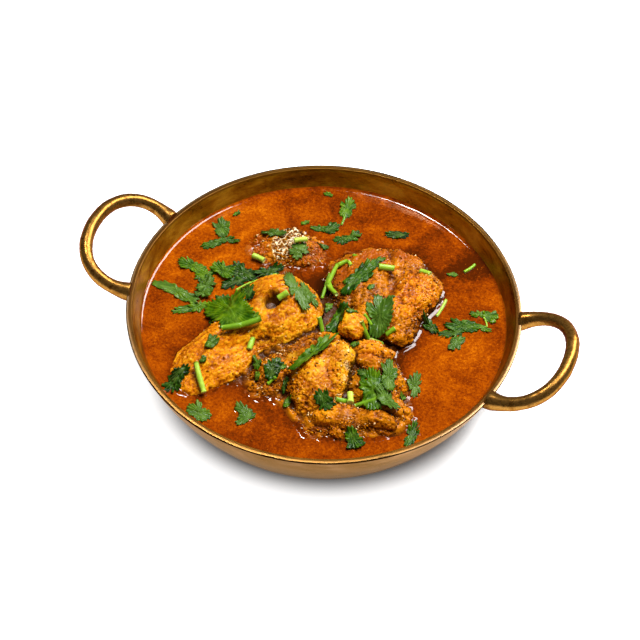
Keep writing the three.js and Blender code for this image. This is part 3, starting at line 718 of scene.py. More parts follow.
def meat_material(name, golden, brown):
    """Meat with three golden and three brown tones, from the pits to the tops of its relief: painted
    shade in the pits and painted light on the tops. A thin film of oil lies over it, which gives
    the small bright points."""
    material, tree, shader = new_material(name, Coat_Weight=0.24, Coat_Roughness=0.04,
                                          Specular_IOR_Level=0.1, Roughness=0.5)
    here = place_of(tree)
    speck = noise_of(tree, here, 0.8, 3.0, 0.7)
    cloud = noise_of(tree, here, 5.0, 4.0, 0.6, 0.5)
    shade = vary(tree, vary(tree, layer_of(tree, "relief"), speck, 1.3), cloud, 0.8)
    bare = ramp_of(tree, shade, *zip(TONE_PLACES, golden))
    coat = ramp_of(tree, shade, *zip(TONE_PLACES, brown))
    colour = blend_of(tree, layer_of(tree, "gold"), coat, bare)
    oil = level_of(tree, noise_of(tree, here, 7.0, 4.0, 0.65, 1.0), 0.52, 0.72, 0.0, 0.3)
    colour = blend_of(tree, oil, colour, screen(196, 92, 4))
    spice = level_of(tree, cells_of(tree, here, 2.6), 0.1, 0.05, 0.0, 0.35)
    colour = blend_of(tree, spice, colour, screen(96, 42, 4))
    # Pale fat, and painted highlights: the curls, the breast's torn edge and a tenth of the crumbs.
    pale = layer_of(tree, "pale")
    pale_colour = ramp_of(tree, pale, (0.4, (222, 170, 20)), (1.0, (240, 228, 192)))
    colour = blend_of(tree, pale, colour, pale_colour)
    colour = blend_of(tree, layer_of(tree, "film"), colour, screen(158, 70, 2))
    # Painted shade in crevices, narrow gaps and the bone's pit.
    colour = blend_of(tree, layer_of(tree, "crevice_shade"), colour, screen(56, 24, 2))
    feed(tree, shader, Base_Color=colour,
         Normal=bump_of(tree, noise_of(tree, here, 0.45, 2.0, 0.6), 0.15, 0.7),
         Coat_Normal=bump_of(tree, noise_of(tree, here, 1.1, 1.0, 0.4), 0.3, 1.0))
    return material


GOLDEN = meat_material("golden_meat", ((128, 52, 0), (202, 114, 0), (243, 178, 26)),
                       ((78, 33, 0), (150, 75, 0), (206, 124, 8)))
MASALA = meat_material("masala_meat", ((108, 45, 0), (177, 88, 0), (226, 142, 7)),
                       ((52, 22, 0), (118, 59, 0), (186, 108, 2)))

# %% [markdown]
# ## A height map of the dish
# Leaves, stalks, masala and gravy all have to lie on the real surface of the chicken. So the
# highest point over each cell of a square grid is kept in one array, and later pieces read it.
# A blurred copy tells what lies lower than its surroundings.

# %% Height map
CELL = 0.4        # spacing of the height map
MAP_HALF = 104.0  # it reaches this far to each side
MAP_SIZE = int(2 * MAP_HALF / CELL)
HEIGHTS = np.full((MAP_SIZE, MAP_SIZE), LEVEL)


def cells_under(points):
    """Row and column of the map's cell under each point."""
    return tuple(((points[:, :2] + MAP_HALF) / CELL).astype(int).T)


def note_heights(points):
    """Raises the height map to the highest of the points in each cell."""
    np.maximum.at(HEIGHTS, cells_under(points), points[:, 2])


def sample(height_map, x, y):
    """Bilinear value of a map at points."""
    u = np.clip((x + MAP_HALF) / CELL - 0.5, 0, MAP_SIZE - 1.001)
    v = np.clip((y + MAP_HALF) / CELL - 0.5, 0, MAP_SIZE - 1.001)
    i, j = u.astype(int), v.astype(int)
    f, g = u - i, v - j
    near = height_map[i, j] * (1 - g) + height_map[i, j + 1] * g
    far = height_map[i + 1, j] * (1 - g) + height_map[i + 1, j + 1] * g
    return near * (1 - f) + far * f


def spread(height_map, reach):
    """A map blurred along both axes by weights exp(-distance / reach)."""
    for axis in (0, 1):
        total, weights = np.zeros_like(height_map), 0
        steps = math.ceil(3 * reach / CELL)
        for k in range(-steps, steps + 1):
            weight = math.exp(-abs(k) * CELL / reach)
            total += weight * np.roll(height_map, k, axis)
            weights += weight
        height_map = total / weights
    return height_map


# %% [markdown]
# ## A dome on a grid
# A piece of chicken needs points of even spacing all over, because fine relief is put on it
# afterwards. Rings about a middle crowd there, so a square grid is pressed into a disc instead
# and laid over the dome. Below its edge, rings of points close the piece in the gravy.

# %% Disc grid
def disc_grid(n):
    """An n by n grid pressed into a disc: squares about the middle become circles. Gives each
    point's share of the radius and its angle."""
    side = np.linspace(-1, 1, n)
    u, v = np.meshgrid(side, side, indexing="ij")
    share = np.maximum(np.abs(u), np.abs(v))
    wide = np.abs(u) >= np.abs(v)
    long, short = np.where(wide, u, v), np.where(wide, v, u)
    ratio = short / np.where(share == 0, 1, long)
    angle = np.where(wide, math.pi / 4 * ratio, math.pi / 2 - math.pi / 4 * ratio)
    return share, angle + np.where(long < 0, math.pi, 0)


def rim_of_grid(n):
    """Point numbers once round the edge of an n by n grid."""
    k = np.arange(n - 1)
    return np.concatenate([k * n, (n - 1) * n + k, (n - 1 - k) * n + n - 1, n - 1 - k])


def disc_faces(n, rows):
    """Faces of a closed shell: an n by n grid, then the rings below its edge, then a pole."""
    edge = rim_of_grid(n)
    rings = np.concatenate([edge, n * n + np.arange(rows * len(edge))])
    return [
        grid_quads(n, n, ring=False),
        rings[grid_quads(rows + 1, len(edge))],
        fan(rings[-len(edge):], n * n + rows * len(edge))[:, [1, 0, 2]],
    ]


# %% Dome
KEEL_RINGS = 10                  # rings of points below the edge
RAGGED, RAGGED_SIZE = 0.09, 8.0  # how uneven the outline of the roughest piece is


def dome_shell(piece, n):
    """Points and faces of a closed dome. On the cap, reach = sin(q)^(2/p) of the outline and
    height = cos(q)^(2/p) of the rise, with q from 0 at the middle to a quarter turn. The keel
    goes on to a half turn, with its own depth."""
    share, angle = disc_grid(n)
    edge = rim_of_grid(n)
    power = 2 / piece["square"]
    below = np.linspace(0, 1, KEEL_RINGS + 2)[1:-1, None] * math.pi / 2
    quarter = np.concatenate([(share * math.pi / 2).ravel(), (math.pi / 2 + below + 0 * edge).ravel()])
    angle = np.concatenate([angle.ravel(), np.tile(angle.ravel()[edge], KEEL_RINGS)])
    out = np.abs(np.sin(quarter)) ** power
    crown = np.abs(np.cos(quarter)) ** power
    reach = out * outline_radius(piece["radii"], angle)
    dx, dy = reach * np.cos(angle), reach * np.sin(angle)
    flat = np.stack([dx, dy, 0 * dx], 1)
    ragged = RAGGED * piece["rough"] * layered_noise(flat, RAGGED_SIZE, 3, 91) * out**2
    dx, dy = dx * (1 + ragged), dy * (1 + ragged)
    bumps = relief(piece, dx, dy) * (1 - out**4)
    height = np.where(quarter <= math.pi / 2, piece["rise"] * crown + bumps, -piece["keel"] * crown)
    height = height + piece["tilt"][0] * dx + piece["tilt"][1] * dy
    pole = (0, 0, -piece["keel"])
    points = np.concatenate([np.stack([dx, dy, height], 1), [pole]])
    return points + (*piece["at"], LEVEL + piece["base"]), disc_faces(n, KEEL_RINGS)


def point_normals(points, faces):
    """Outward normal at each point: the sum of the cross products of its faces' diagonals."""
    total = np.zeros_like(points)
    for part in faces:
        first, last = points[part[:, 2]] - points[part[:, 0]], points[part[:, -1]] - points[part[:, 1]]
        cross = np.cross(first, last)
        for corner in part.T:
            for axis in range(3):
                total[:, axis] += np.bincount(corner, cross[:, axis], len(points))
    return total / np.maximum(np.linalg.norm(total, axis=1, keepdims=True), 1e-9)


# %% [markdown]
# ## The chicken's surface
# The pieces differ in their surface. The breast shows torn muscle fibres and pores under a thin
# glaze, the small cube is nearly smooth, and the others wear a coat of ground masala in grains
# of about a millimetre. All of it is real relief, because its small shadows make meat look like
# meat: every point of the fine grid is moved along its normal by a sum of noises.

# %% Fibres, lobes and crumbs
FIBRE_LENGTH = 8.0  # how many times longer than wide a fibre is
FIBRE_WIDTH = 1.5
FIBRE_WAVES = ((1.6, 9.0, 21), (0.5, 3.0, 22))  # height, size and seed of the bends in them
LOBE_MEAN = 0.55    # taken off, so that the relief doesn't swell the piece
CRUMB_MEAN = 0.34   # the same for crumbs one millimetre across
CRUMB_LAYERS = ((1.0, 0.6), (0.5, 0.3))  # size and height of the crumbs, in shares


def along_muscle(points, lay, ratio):
    """Points turned so that x runs along the muscle, and pressed together by the ratio there."""
    c, s = math.cos(math.radians(lay)), math.sin(math.radians(lay))
    along = points[:, 0] * c + points[:, 1] * s
    across = points[:, 1] * c - points[:, 0] * s
    return np.stack([along / ratio, across, points[:, 2]], 1)


def lobes(points, size, seed):
    """Rounded lobes with sharp creases between them: the absolute value of noise, less its mean."""
    return 2 * np.abs(value_noise(points, size, seed)) - LOBE_MEAN


def shreds(points, lay):
    """Short torn fibres: noise drawn out along the muscle, in waves across it."""
    bent = along_muscle(points, lay, FIBRE_LENGTH)
    bent[:, 1] += sum(height * value_noise(points, size, seed) for height, size, seed in FIBRE_WAVES)
    return layered_noise(bent, FIBRE_WIDTH, 3, 31)


def crumble(points, size, seed):
    """Round crumbs of two sizes, each a half ball over its cell, with the smaller on the larger."""
    bent = points + 0.5 * size * value_noise(points, 1.7 * size, seed)[:, None]
    total = np.zeros(len(points))
    for scale, part in CRUMB_LAYERS:
        away, which = grains(bent, size * scale, seed + 3)
        total += part * size * (0.3 + 0.7 * which) * np.sqrt(np.clip(1 - (away / 0.85) ** 2, 0, 1))
    return total - CRUMB_MEAN * size


# %% Fine relief
# Each pattern has a height and a size in millimetres. Lobes have a seed as well.
TORN_LOBES = ((1.5, 9.0, 41), (0.7, 4.0, 43))  # where the muscle is torn
TORN_LENGTH = 2.2                 # and how much longer they are along it
SWELL = (0.9, 15.0)               # slow unevenness of every piece
FIBRES, PORES = 0.3, (0.16, 1.7)  # on bare meat
CRUMBS, UNDER_CRUMBS = 1.1, (0.35, 2.6)  # on coated meat
SKIN = (0.3, 1.2)                 # on both
LUMPS_SHARE, TORN_SHARE = 0.8, 0.25  # of the lumps that move points, and that count as fine


def fine_relief(points, piece):
    """The lumps: torn lobes drawn out along the muscle, and a slow swell. The fine relief:
    shreds and pores where the coat is thin, crumbs where it is thick, and some of the lobes."""
    coat, rough = piece["coat"], piece["rough"]
    drawn = along_muscle(points, piece["lay"], TORN_LENGTH)
    torn = sum(height * lobes(drawn, size, seed) for height, size, seed in TORN_LOBES)
    lumps = rough * torn + SWELL[0] * layered_noise(points, SWELL[1], 2, 11)
    bare = FIBRES * shreds(points, piece["lay"]) + PORES[0] * lobes(points, PORES[1], 45)
    crumbs = CRUMBS * crumble(points, piece["grain"], 51)
    crumbs = crumbs + UNDER_CRUMBS[0] * layered_noise(points, UNDER_CRUMBS[1], 2, 47)
    fine = (1 - coat) * bare + coat * crumbs + SKIN[0] * layered_noise(points, SKIN[1], 2, 61)
    return lumps, fine + TORN_SHARE * rough * torn


# %% [markdown]
# ## Marks on single pieces
# Three marks are too particular for the general relief. The breast was chopped through a rib, so
# it has a pit with a torn rim, darkened with painted shade. The piece that is nearly sunk has thin
# pale curls on low ridges, which are painted highlights with painted shade between them. And
# between pieces that stand close, the gaps are deep and get painted shade. Each mark is a
# function of a point that gives 0..1, so shape and colour can both use it.

# %% Pit, highlight curls, shaded gaps and pale spots
BONE_AT, BONE_HOLE, BONE_DEPTH = (-23.4, -11.0), 3.7, 3.6  # place, radius and depth
BONE_RIM = (1.1, 0.9, 0.8)        # height, distance from the pit and width of its rim
CURLS_AT, CURLS_REACH = (-33.6, 40.4), (9.5, 13.0)
CURL_RIDGE_HEIGHT = 0.5
CURL_SIZE, CURL_WIDTH = 1.5, 0.2  # size of the noise, and how near to zero a curl runs
GAPS = [(-9, 22, 6), (-4, 15, 5), (1, 9, 5), (2, 3, 4)]  # x, y, radius
GAP_FADE = 10                     # a gap is dark up to this far above the gravy

# x, y, radius and strength of the pale spots: fat on the front and the middle piece, painted
# highlights on the torn edge below the breast's pit, and one on the cube.
PALE_SPOTS = [(22.5, -27, 2.6, 0.6), (24.5, -34, 3, 0.7), (26, -41, 3, 0.6), (-4, -35, 2.6, 0.45),
             (-29.5, -12.5, 1.6, 0.5), (-26.5, -15.5, 1.6, 0.5), (15, -8, 2.5, 0.25)]


def bone_hole(points):
    """Height to add round the cut bone, a steep pit and a torn rim, and the pit's share 0..1,
    1 / (1 + (distance / radius)^8)."""
    away = np.hypot(points[:, 0] - BONE_AT[0], points[:, 1] - BONE_AT[1])
    away = away * (1 + 0.25 * value_noise(points, 2.6, 93)) + 0.3 * value_noise(points, 1.2, 94)
    torn = np.clip(1 + value_noise(points, 3.0, 95), 0, 2)
    height, beside, width = BONE_RIM
    rim = height * np.exp(-(((away - BONE_HOLE - beside) / width) ** 2)) * torn
    pit = 1 / (1 + (away / BONE_HOLE) ** 8)
    return rim - BONE_DEPTH * pit, pit


def curl_pattern(points):
    """The thin pale curls on the sunken piece, which are painted highlights, and how far a point is
    among them, both 0..1. The curls run where a noise is near zero."""
    away = np.hypot((points[:, 0] - CURLS_AT[0]) / CURLS_REACH[0],
                    (points[:, 1] - CURLS_AT[1]) / CURLS_REACH[1])
    among = np.clip(6 * (1.1 - away + 0.3 * value_noise(points, 5.0, 98)), 0, 1)
    curls = 1.7 - np.abs(value_noise(points, CURL_SIZE, 97)) / CURL_WIDTH
    return np.clip(curls, 0, 1) * among, among


def shut_in(points):
    """0..1 in narrow gaps between two pieces, where little light comes: bells about a few places,
    which fade with the height above the gravy."""
    share = sum(bell(points[:, 0], points[:, 1], *gap) for gap in GAPS)
    return np.clip(1.2 * share, 0, 1) * np.clip(1.1 - (points[:, 2] - LEVEL) / GAP_FADE, 0, 1)


def pale_places(points):
    """0..1 on the pale spots, fat on some and painted highlights on others: bells about a few spots."""
    pale = np.zeros(len(points))
    for *spot, strength in PALE_SPOTS:
        pale += strength * bell(points[:, 0], points[:, 1], *spot)
    return np.clip(pale, 0, 1)


# %% Shapes of the pieces
def shape_chicken(piece):
    """The dome, moved along its normals by the fine relief: points, faces, the relief's height."""
    points, faces = dome_shell(piece, piece["grid"])
    lumps, fine = fine_relief(points, piece)
    points = points + point_normals(points, faces) * (LUMPS_SHARE * lumps + fine)[:, None]
    if piece["name"] == "chicken_breast":
        points[:, 2] += bone_hole(points)[0] * (points[:, 2] > LEVEL)
    if piece["name"] == "chicken_sunken":
        points[:, 2] += CURL_RIDGE_HEIGHT * curl_pattern(points)[0]
    note_heights(points)
    return points, faces, fine


SHAPES = [shape_chicken(piece) for piece in PIECES]
CLOSE_MEAN = spread(HEIGHTS, 2.2)  # mean height a few millimetres around
WIDE_MEAN = spread(HEIGHTS, 5.0)   # and a centimetre around
print("chicken reaches", round(float(HEIGHTS.max()) - LEVEL, 1), "above the gravy")

# %% What the meat's material reads
# Painted shade in the meat's crevices and valleys is full this far below the means.
CREVICE, VALLEY = 1.4, 4.6          # fully dark this far below the close and the wide mean
GOLD_NOISE, GOLD_SIZE = 0.45, 8.0   # how patchy the gold is
PATCH_GOLD = 1.1                    # strength of the golden patches
SHORE_NOISE, SHORE_SIZE = 1.2, 3.0  # how uneven the gravy's mark on the meat is
SOAKED = 0.75                       # film on the soaked patches
GOLDEN_PIECES = ("chicken_cube", "chicken_breast", "chicken_front")


def meat_layers(piece, points, fine):
    """What the material needs, each 0..1: relief, gold, pale fat and painted highlights, the
    film of gravy, and painted shade in the crevices, which lie deeper than the mean heights around
    them."""
    x, y, z = points.T
    dx, dy = x - piece["at"][0], y - piece["at"][1]
    gold = piece["gold"] + GOLD_NOISE * layered_noise(points, GOLD_SIZE, 3, 71)
    for patch in piece["patches"]:
        gold = gold + PATCH_GOLD * bell(dx, dy, *patch)
    film = 1 - (z - LEVEL + SHORE_NOISE * value_noise(points, SHORE_SIZE, 81)) / piece["dip"]
    for patch in piece.get("soaked", ()):
        film = np.maximum(film, SOAKED * bell(dx, dy, *patch, 2))
    # Painted shade where the meat lies below the mean heights around it, and in narrow gaps.
    crevice_shade, valley_shade = (sample(CLOSE_MEAN, x, y) - z) / CREVICE, (sample(WIDE_MEAN, x, y) - z) / VALLEY
    crevice_shade = np.maximum(np.maximum(crevice_shade, valley_shade), 1.3 * shut_in(points))
    pale = pale_places(points)
    if piece["name"] == "chicken_breast":
        # Painted shade in the pit round the bone.
        crevice_shade = np.maximum(crevice_shade, 1.5 * bone_hole(points)[1])
    if piece["name"] == "chicken_sunken":
        # The curls are painted highlights, with painted shade between them.
        curls, among = curl_pattern(points)
        film, pale = film * (1 - among), np.maximum(pale, curls)
        crevice_shade = np.where(among > 0, 0.75 * among * (1 - curls), crevice_shade)
    return {
        "relief": np.clip(0.5 + fine / 1.3, 0, 1),
        "gold": np.clip(gold, 0, 1),
        "pale": pale,
        "film": np.clip(film, 0, 0.85),
        "crevice_shade": np.clip(crevice_shade, 0, 0.92),
    }


# %% Chicken meshes
for piece, (points, faces, fine) in zip(PIECES, SHAPES):
    golden = piece["name"] in GOLDEN_PIECES
    material, slot = (GOLDEN, "golden_chicken") if golden else (MASALA, "masala_chicken")
    layers = meat_layers(piece, points, fine)
    add_piece(piece["name"] + "_meat", points, faces, material, (piece["name"],), layers)

# %% [markdown]
# ## Masala between the pieces
# Ground onion and shreds of meat lie heaped against the chicken and fill the gaps between the
# pieces. The heap is a crumbly sheet on a fine square grid: high where pieces stand close and
# sloping down into the gravy. Only the part that rises out of the gravy is kept, and it is closed
# below by its own flat copy.

# %% Where masala lies
BESIDE_REACH, GAP_REACH = 3.6, 8.0  # how far it lies beside a piece, and how wide a gap it fills

# x, y and radius of places that stay clear of it.
CLEAR_PLACES = [(58, 14, 14), (50, -8, 9), (-62, -45, 16), (-55, 0, 16), (-9, 21, 8)]


def masala_map():
    """0..1 on the height map's cells: how much masala lies about. It lies close to the coated
    pieces, and between two pieces: there the product of their blurred footprints is large."""
    side = (np.arange(MAP_SIZE) + 0.5) * CELL - MAP_HALF
    x, y = np.meshgrid(side, side, indexing="ij")
    coated, total, squares = (np.zeros_like(HEIGHTS) for _ in range(3))
    for piece in PIECES:
        covers = np.isfinite(top_of(piece, x, y)).astype(float)
        if piece["coat"] > 0.5 or piece["name"] == "chicken_cube":
            coated = np.maximum(coated, covers)
        reach = spread(covers, GAP_REACH)
        total, squares = total + reach, squares + reach**2
    between = 14 * (total**2 - squares) / 2
    near = np.clip(3.4 * spread(coated, BESIDE_REACH) - 0.3 + between, 0, 1)
    for place in CLEAR_PLACES:
        near *= 1 - bell(x, y, *place, 2)
    return near


# %% Masala bed
BED_STEP = 0.36                  # spacing of its grid
BED_LOW, BED_HIGH = (-62.0, -76.0), (66.0, 62.0)
BED_DEPTH = 1.6                  # how far its underside lies below the gravy
BED_START = -0.9                 # height where there is no masala, from the gravy
BED_EDGE = -0.35                 # the sheet ends where it falls below this
BED_HIDDEN = 3.0                 # and where a piece covers it by this much
BED_RISE, BED_SHARE = 0.5, 0.68  # full height: this, and this share of the pieces' height
# Painted shade on the bed is full this far below the blurred height of the pieces.
BED_CREVICE = 1.6


def kept_sheet(points, rows, columns, kept):
    """The quads of a grid whose four corners are kept, a flat copy below, and walls between:
    a side that only one quad has is on the border."""
    quads = grid_quads(rows, columns, ring=False)
    quads = quads[kept[quads].all(1)]
    sides = np.stack([quads, np.roll(quads, -1, axis=1)], -1).reshape(-1, 2)
    key = sides.min(1) * len(points) + sides.max(1)
    _, where, count = np.unique(key, return_index=True, return_counts=True)
    border = sides[where[count == 1]]
    used, compact = np.unique(quads, return_inverse=True)
    number = np.full(len(points), -1)
    number[used] = np.arange(len(used))
    top, border = compact.reshape(-1, 4), number[border]
    below = points[used].copy()
    below[:, 2] = LEVEL - BED_DEPTH
    walls = np.stack([border[:, 1], border[:, 0], border[:, 0] + len(used), border[:, 1] + len(used)], 1)
    return np.concatenate([points[used], below]), [top, top[:, ::-1] + len(used), walls], used


def make_bed():
    """Height level - 0.9 + masala * (0.5 + 0.68 * blurred height of the pieces + crumbs)."""
    x = np.arange(BED_LOW[0], BED_HIGH[0], BED_STEP)
    y = np.arange(BED_LOW[1], BED_HIGH[1], BED_STEP)
    at_x, at_y = (grid.ravel() for grid in np.meshgrid(x, y, indexing="ij"))
    flat = np.stack([at_x, at_y, 0 * at_x], 1)
    heap = sample(spread(HEIGHTS - LEVEL, 4.0), at_x, at_y)
    crumbs = 0.8 * crumble(flat, 1.5, 151) + 1.0 * layered_noise(flat, 6.0, 4, 161)
    full = BED_RISE + BED_SHARE * heap + crumbs
    height = LEVEL + BED_START + sample(masala_map(), at_x, at_y) * full
    kept = (height > LEVEL + BED_EDGE) & (sample(HEIGHTS, at_x, at_y) - height < BED_HIDDEN)
    points, faces, used = kept_sheet(np.stack([at_x, at_y, height], 1), len(x), len(y), kept)
    note_heights(points[: len(used)])
    both = np.concatenate([used, used])
    # Painted shade in the low places of the heap and in the narrow gaps.
    deep = (LEVEL + heap[both] - points[:, 2]) / BED_CREVICE
    layers = {
        "relief": np.clip(0.5 + crumbs[both] / 2.2, 0, 1),
        "gold": np.clip(0.15 + 0.5 * value_noise(flat[both], 6.0, 171), 0, 1),
        "pale": np.zeros(len(points)),
        "film": np.clip(1 - (points[:, 2] - LEVEL) / 1.3, 0, 0.75),
        "crevice_shade": np.clip(np.maximum(deep, 1.3 * shut_in(points)), 0, 0.95),
    }
    add_piece("masala_bed", points, outward(points, faces), MASALA, (), layers)


make_bed()

# %% [markdown]
# ## The cut bone
# The breast was chopped through a rib, and the end of the bone shows brown and porous in its
# pit. It is a short stub with a domed, pitted face, so the dome of the chicken serves again.

# %% Bone
BONE_OFFSET = (-0.8, -0.5)  # from the middle of the pit
STUB_RADII = (2.9, 2.7, 2.4, 2.8, 3.1, 2.6, 2.2, 2.6)
STUB_LIFT = 0.4             # above the mean surface around it
STUB_GRID = 60


def bone_material():
    """Dull brown with dark pores."""
    material, tree, shader = new_material("cut_bone", Roughness=0.5, Coat_Weight=0.4, Coat_Roughness=0.2)
    here = place_of(tree)
    pores = cells_of(tree, here, 0.55)
    cloud = noise_of(tree, here, 1.5, 3.0, 0.6)
    shade = sum_of(tree, sum_of(tree, pores, -0.3), cloud, 0.8)
    colour = ramp_of(tree, shade, (0.2, (20, 10, 5)), (0.5, (82, 50, 34)), (0.8, (122, 84, 62)))
    feed(tree, shader, Base_Color=colour, Normal=bump_of(tree, pores, 0.3, 0.8))
    return material


def make_bone():
    """A small dome like the chicken's, nearly square in section, with small dents all over."""
    x, y = BONE_AT[0] + BONE_OFFSET[0], BONE_AT[1] + BONE_OFFSET[1]
    base = float(sample(CLOSE_MEAN, x, y)) - LEVEL + STUB_LIFT
    stub = dict(radii=STUB_RADII, rise=1.1, keel=4.0, tilt=(0, 0.1), square=3.4, base=base, at=(x, y),
                lumps=(), creases=(), rough=0.8)
    points, faces = dome_shell(stub, STUB_GRID)
    dents = 0.25 * layered_noise(points, 1.2, 2, 111)
    points = points + point_normals(points, faces) * dents[:, None]
    add_piece("rib_bone_end", points, outward(points, faces), bone_material())


make_bone()

# %% [markdown]
# ## Coriander leaves
# The leaves are chopped coriander: thin, wavy, lobed fans on fine stalks, laid over the chicken
# and the gravy. A leaf is a sheet with two faces. It is drawn on a polar grid about the middle
# of each leaflet. Its edge is an oval with torn corners, narrow notches between the lobes and
# small teeth, and folds run out to the teeth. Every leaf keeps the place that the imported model
# gives it and then settles on the real relief.

# %% Leaf material
def leaf_material():
    """Waxy green: the tone runs from dark to fresh, with painted light on raised folds and painted
    shade in their hollows, greyish leaves show their underside, and pale veins spread from the
    stalk."""
    material, tree, shader = new_material("coriander_leaf", Coat_Weight=0.25, Coat_Roughness=0.12,
                                          Specular_IOR_Level=0.1)
    here = place_of(tree)
    cloud = noise_of(tree, here, 2.4, 4.0, 0.7)
    tone = vary(tree, layer_of(tree, "tone"), cloud, 0.8)
    colour = ramp_of(tree, tone, (0.0, (10, 34, 1)), (0.35, (38, 76, 2)),
                     (0.65, (80, 114, 5)), (1.0, (124, 150, 18)))
    colour = blend_of(tree, layer_of(tree, "grey"), colour, screen(76, 106, 32))
    vein = level_of(tree, layer_of(tree, "vein"), 0.0, 1.0, 0.0, 0.28)
    feed(tree, shader, Base_Color=blend_of(tree, vein, colour, screen(136, 170, 70)),
         Roughness=level_of(tree, cloud, 0.3, 0.7, 0.38, 0.56),
         Normal=bump_of(tree, cells_of(tree, here, 0.9), 0.12, 0.5))
    return material


LEAF_GREEN = leaf_material()

# %% Leaf places
# Leaf shapes: how boxy, how much narrower at the stalk, the turns and depth of the gaps between
# the lobes, the number of torn corners, the height of the teeth, and a final scale.
FAN = dict(square=2.4, narrow=0.45, gaps=(0.62, 1.5), depth=0.5, corners=9, teeth=0.14, grow=1.12)
BROAD = dict(square=2.8, narrow=0.45, gaps=(0.5, 1.3, 2.1), depth=0.28, corners=9, teeth=0.13, grow=1.0)
FRILL = dict(square=2.2, narrow=0.3, gaps=(0.45, 1.05, 1.7, 2.3), depth=0.6, corners=8, teeth=0.22, grow=1.2)
BLADE = dict(square=3, narrow=0.15, gaps=(0.4, 1.0, 1.7, 2.4), depth=0.4, corners=7, teeth=0.2, grow=1.16)
DARK, DEEP, MIDDLE, FRESH = 0.1, 0.3, 0.5, 0.56
GREEN, GREYISH, PALE = 0.0, 0.45, 0.8

